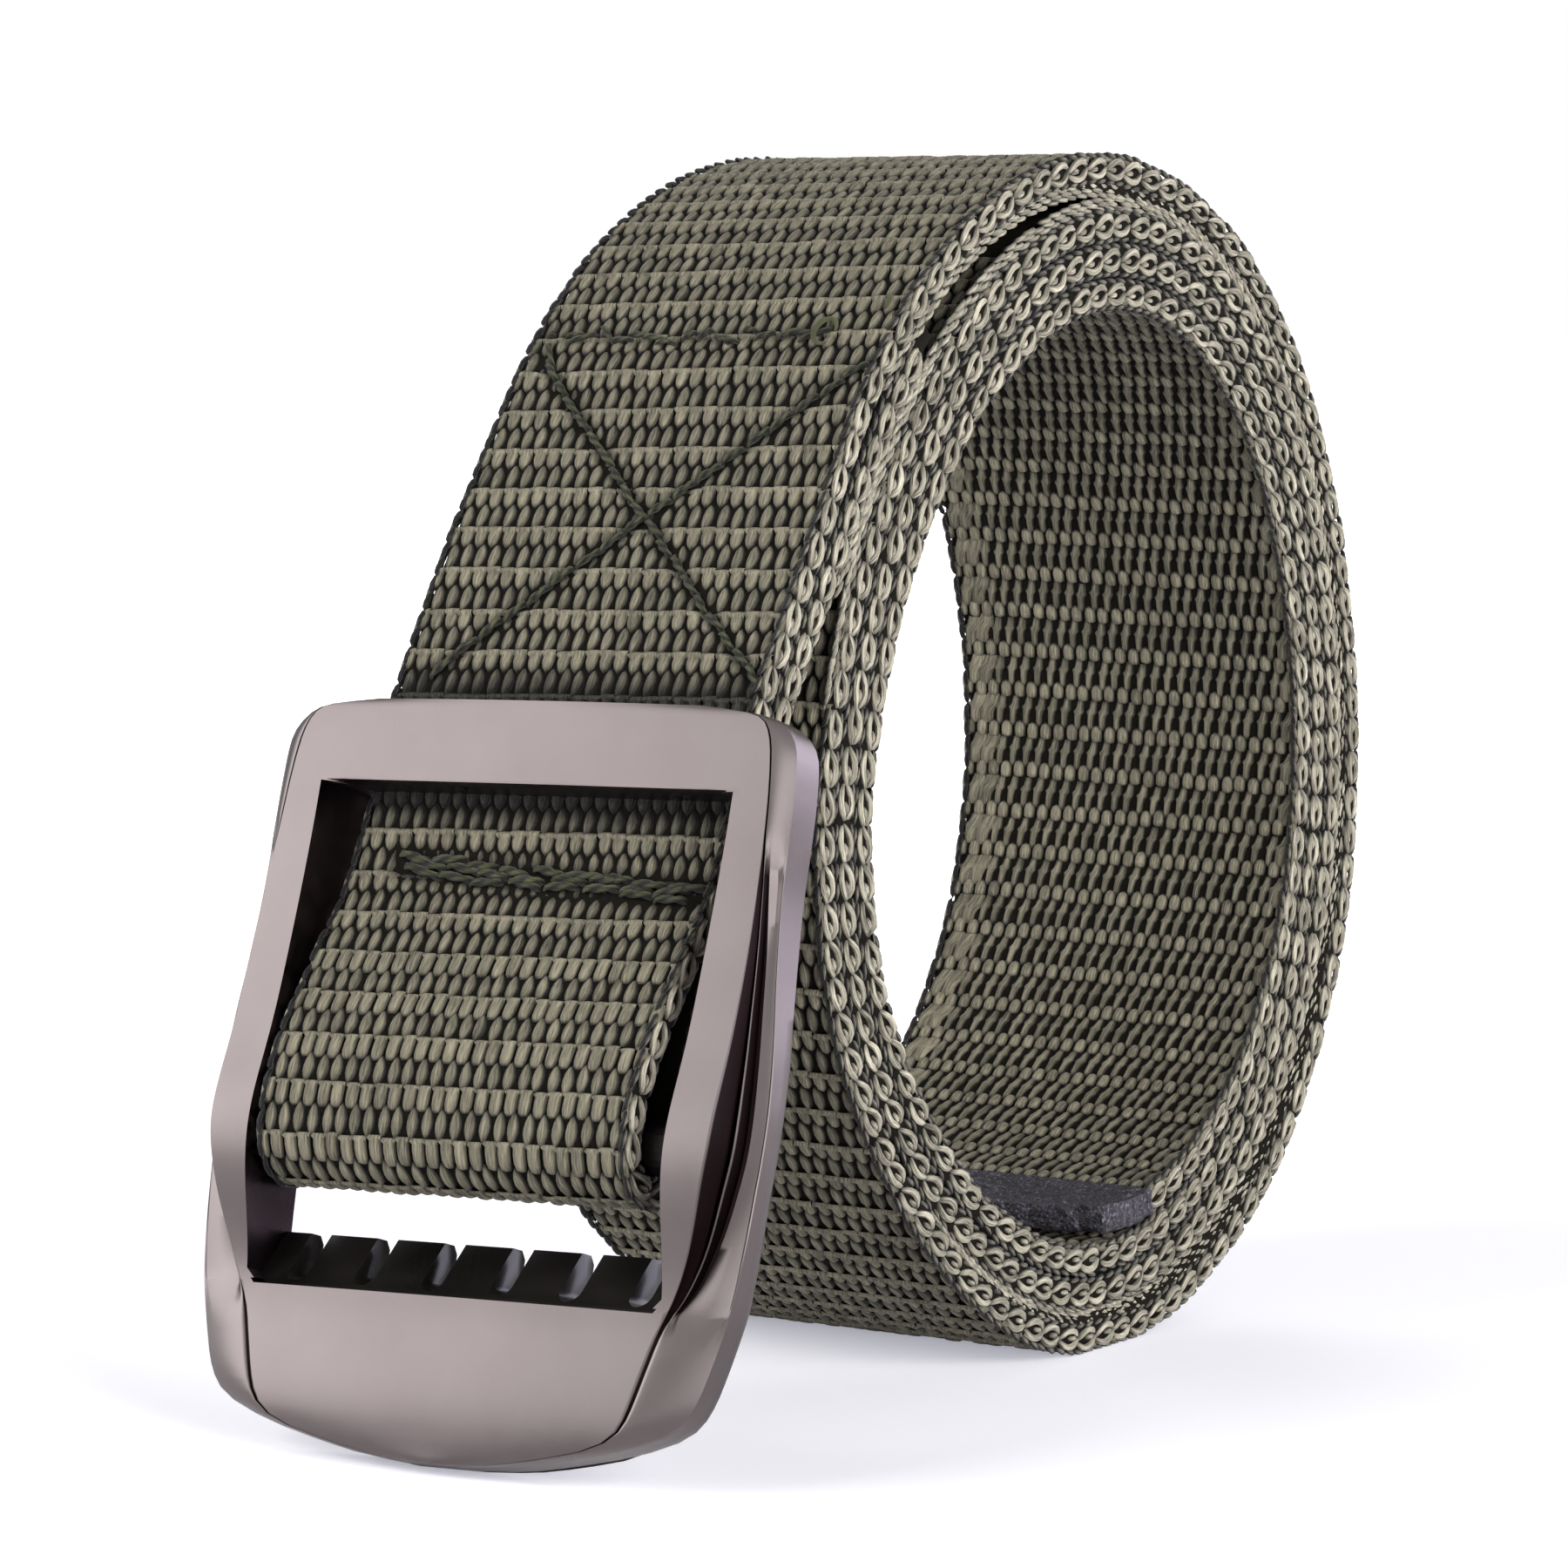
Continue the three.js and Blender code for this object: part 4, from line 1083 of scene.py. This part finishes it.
def flankColumns(v):
    # points from the seam to the side edge as (share across, share down, share of painted hollow shade)
    rows = np.array(buckle["hollow"])
    ridgeU, ridgeD, wingU, wingD = (readCurve(rows[:, 0], rows[:, i],
                                              np.clip(v, rows[0, 0], rows[-1, 0])) for i in (1, 2, 3, 4))
    opened = [
        (0, 0, 0), (.05 * ridgeU, .03 * ridgeD, 0), (.1 * ridgeU, .14 * ridgeD, 1), (.4 * ridgeU, .72 * ridgeD,
                                                                                     1), (.74 * ridgeU, ridgeD, 1),
        (.85 * ridgeU, ridgeD * .97, 1), (.88 * ridgeU, ridgeD * .91, 0), (ridgeU, ridgeD * .9,
                                                                           0), (1.04 * ridgeU, ridgeD * .94, 0),
        (1.08 * ridgeU, ridgeD, 1), (ridgeU + .45 * (wingU - ridgeU), wingD * .97, 1), (wingU - .03, wingD,
                                                                                        1), (wingU, wingD * .98, 0),
        (.5 + .5 * wingU, .95, 0), (.94, .965, 0), (.955, 1.0, .5), (.97, .98, 0), (1, 1, 0),
    ]
    closed = [
        (0, 0, 0), (.02, .03, 0), (.03, .1, .8), (.045, .15, 1), (.06, .16, 1), (.075, .15, 1), (.09, .1,
                                                                                                 .8), (.1, .05,
                                                                                                       0), (.12,
                                                                                                            .03, 0),
        (.16, .04, 0), (.24, .08, 0), (.34, .15, 0), (.45, .24, 0), (.6, .4, 0), (.78, .64, 0), (.88, .8,
                                                                                                 0), (.95, .91,
                                                                                                      0), (1, 1, 0),
    ]
    share = float(smoothStep((v + 25) / 4) * (1 - smoothStep((v - 14) / 5)))
    return [tuple(a * (1 - share) + b * share for a, b in zip(shut, open_)) for shut, open_ in zip(closed, opened)]


def buckleLevel(v):
    rise = (v + halfWindow + strap["lowerPlateHeight"]) / strap["frameHeight"]
    side, seam, wall = (float(readCurve(buckle["rise"], buckle[key], rise)) for key in ("side", "seam", "wall"))
    near = rise + np.linspace(-2, 2, 9) * buckle["smoothing"]
    face = float(np.average(readCurve(buckle["rise"], buckle["face"], near),
                            weights=np.exp(-np.linspace(-2, 2, 9) ** 2 / 2)))
    side, seam, face = side * buckle["halfWidth"], seam * buckle["halfWidth"], -face * buckle["bulge"]
    wing = buckle["wingDepth"]
    corner = wing + wall * (strap["frameDepth"] - wing)
    inset = min(1.6, side * 0.2)
    window = min(buckle["windowHalf"], seam - 0.4)
    cut = buckle["cornerCut"]
    if -halfWindow - 0.01 <= v < -halfWindow + cut:
        window -= cut - (v + halfWindow)
    back = min(corner + inset, strap["frameDepth"])
    behindWindow = buckle["topBarDepth"] if v > halfWindow - 0.01 else back
    across = [x * window / 8 for x in range(0, 9)] + [window + (seam - window) * share for share in (.25, .5, .78)]
    half = [(x, face - buckle["crown"] * (1 - (x / seam) ** 2), 0) for x in across]
    half += [(seam + (side - seam) * u, face + (wing - face) * d, hollowShade) for u, d, hollowShade in flankColumns(v)]
    half += [(side, wing + (corner - wing) * share, 0) for share in (.3, .65, 1)]
    half += [(side - inset * .35, corner + (back - corner) * .7, 0), (side - inset, back, 0)]
    outer = side - inset
    lug = float(smoothStep((v - buckle["lugFoot"]) / 5) * (v < halfWindow + 1.5)) * (buckle["lugDepth"] - back)
    half += [(outer + (window + 1.6 - outer) * share, back, 0) for share in (.4, 1)]
    half += [(window + 1.3, back + lug, 0)]
    half += [(window, behindWindow + (lug if v < halfWindow - 0.01 else 0), 0)]
    half += [(x * window / 8, behindWindow, 0) for x in range(7, -1, -1)]
    left = [(-x, d, hollowShade) for x, d, hollowShade in half[1:-1]][::-1]
    return half + left


def toBuckleStand(points):
    turned = np.asarray(points) @ np.array(buckleRotation).T
    return turned + windowMiddle


def makeBuckle():
    low, high = -halfWindow - strap["lowerPlateHeight"], strap["frameHeight"] - halfWindow - strap["lowerPlateHeight"]
    ends = low + np.array([0, .0015, .004, .008, .014, .022, .032, .045]) * strap["frameHeight"]
    tops = high - np.array([0, .0015, .004, .008, .013, .02, .03, .042]) * strap["frameHeight"]
    inWindow = np.linspace(-halfWindow + buckle["cornerCut"], halfWindow - 0.2, 70)
    lowPlate = np.linspace(ends[-1], -halfWindow, 12)
    heights = np.unique(np.round(np.concatenate([ends, tops, inWindow, lowPlate,
                                                 [-halfWindow, -halfWindow + .4, -halfWindow + .8, halfWindow,
                                                  halfWindow + .2],
                                                 np.linspace(halfWindow + .8, tops[-1], 5)]), 4))
    sections = [buckleLevel(v) for v in heights]
    around = len(sections[0])
    # a grid whose long edges meet
    piece, column, row = addGrid("cast_buckle", around, len(heights) - 1)
    table = np.array(sections)
    local = np.stack([table[row, column % around, 0], table[row, column % around, 1], heights[row]], axis=1)
    # painted shade share of each point, near black in the flank's hollows
    hollowShade = table[row, column % around, 2]
    writePoints(piece, local)
    writeValue(piece, "hollowShadeShare", hollowShade)
    inEditMode(piece, lambda: bpy.ops.mesh.remove_doubles(threshold=1e-7))
    return piece


def selectByPlace(piece, kind, test):
    # selects faces or edges by the middle and, for a face, its normal; leaves the piece in edit mode
    makeActive(piece)
    bpy.ops.object.mode_set(mode="EDIT")
    bpy.ops.mesh.select_mode(type=kind)
    bpy.ops.mesh.select_all(action="DESELECT")
    bpy.ops.object.mode_set(mode="OBJECT")
    mesh = piece.data
    if kind == "FACE":
        for polygon in mesh.polygons:
            polygon.select = bool(test(polygon.center / mm, polygon.normal))
    else:
        uses = {}
        for polygon in mesh.polygons:
            for key in polygon.edge_keys:
                uses[key] = uses.get(key, 0) + 1
        for edge in mesh.edges:
            ends = [mesh.vertices[i].co for i in edge.vertices]
            edge.select = bool(test((ends[0] + ends[1]) / 2 / mm, uses.get(edge.key, 0)))
    bpy.ops.object.mode_set(mode="EDIT")


def finishBuckle(piece):
    window = buckle["windowHalf"]

    def overWindow(place, normal):
        edge = window - (buckle["cornerCut"] / 2 if place.z < -halfWindow + buckle["cornerCut"] else 0.02)
        return abs(place.x) < edge and abs(place.z) < halfWindow and abs(normal.y) > 0.3

    selectByPlace(piece, "FACE", overWindow)
    bpy.ops.mesh.delete(type="FACE")
    selectByPlace(piece, "EDGE", lambda place, uses: uses == 1 and abs(place.z) < halfWindow + 0.1)
    bpy.ops.mesh.bridge_edge_loops(number_cuts=3)
    for end in (-1, 1):
        selectByPlace(piece, "EDGE", lambda place, uses: uses == 1 and place.z * end > halfWindow)
        bpy.ops.mesh.fill()
    bpy.ops.mesh.select_all(action="SELECT")
    bpy.ops.mesh.normals_make_consistent(inside=False)
    bpy.ops.object.mode_set(mode="OBJECT")
    setMaterial(piece, gunmetalPlate, shadedWallPlate)
    # the window's inner walls take the darker copy of the plating: painted shade
    for polygon in piece.data.polygons:
        place = polygon.center / mm
        inside = abs(place.x) < window + 0.02 and abs(place.z) < halfWindow + 0.02
        polygon.material_index = int(inside and abs(polygon.normal.y) < 0.5)
    writePoints(piece, toBuckleStand(readPoints(piece)))
    addBevel(piece, buckle["edgeRound"], 60)
    applyModifiers(piece)
    bpy.ops.object.shade_smooth_by_angle(angle=math.radians(32))
    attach(piece, "root")
    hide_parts("buckle_frame")


finishBuckle(makeBuckle())

comb = dict(
    # side view as (depth, height above the window's lower edge)
    outline=[(0.9, -0.9), (0.9, 0.0), (4.6, 5.1), (6.0, 5.1), (6.6, 4.4), (6.6, 0.8), (5.3, -1.2)],
    halfLength=21.05, notches=6, pitch=6.95, notchWidth=2.1, notchFoot=0.6, edgeRound=0.16,
)


def makeComb():
    corners = len(comb["outline"])
    deselectAll()
    bpy.ops.mesh.primitive_cylinder_add(vertices=corners, radius=1, depth=2)
    piece = bpy.context.object
    piece.name = piece.data.name = "buckle_comb"
    points = readPoints(piece) * mm
    corner = np.rint(np.arctan2(points[:, 0], points[:, 1]) / (2 * np.pi) * corners).astype(int) % corners
    outline = np.array(comb["outline"])
    writePoints(piece, np.stack([points[:, 2] * comb["halfLength"], outline[corner, 0],
                                 outline[corner, 1] - halfWindow], axis=1))
    inEditMode(piece, lambda: bpy.ops.mesh.normals_make_consistent(inside=False))
    deselectAll()
    bpy.ops.mesh.primitive_cylinder_add(vertices=28, radius=1, depth=2)
    cutter = bpy.context.object
    points = readPoints(cutter) * mm
    radius = comb["notchWidth"] / 2
    first = -(comb["notches"] - 1) / 2 * comb["pitch"]
    height = points[:, 1] * radius + np.where(points[:, 1] > 0.01, 9.0, 0) + radius + comb["notchFoot"] - halfWindow
    writePoints(cutter, np.stack([first + points[:, 0] * radius, 4 + points[:, 2] * 5, height], axis=1))
    inEditMode(cutter, lambda: bpy.ops.mesh.normals_make_consistent(inside=False))
    addArray(cutter, comb["notches"], (comb["pitch"] * mm, 0, 0))
    applyModifiers(cutter)
    addModifier(piece, "BOOLEAN", operation="DIFFERENCE", object=cutter)
    addBevel(piece, comb["edgeRound"], 35)
    applyModifiers(piece)
    bpy.data.objects.remove(cutter)
    writePoints(piece, toBuckleStand(readPoints(piece)))
    # painted shade: the comb is coloured near black for the shade it sits in
    setMaterial(piece, blackGlossAndShade)
    makeActive(piece)
    bpy.ops.object.shade_smooth_by_angle(angle=math.radians(30))
    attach(piece, "root")


makeComb()
setMaterial(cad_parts["crossbar"], blackGlossAndShade)
print("buckle cast")
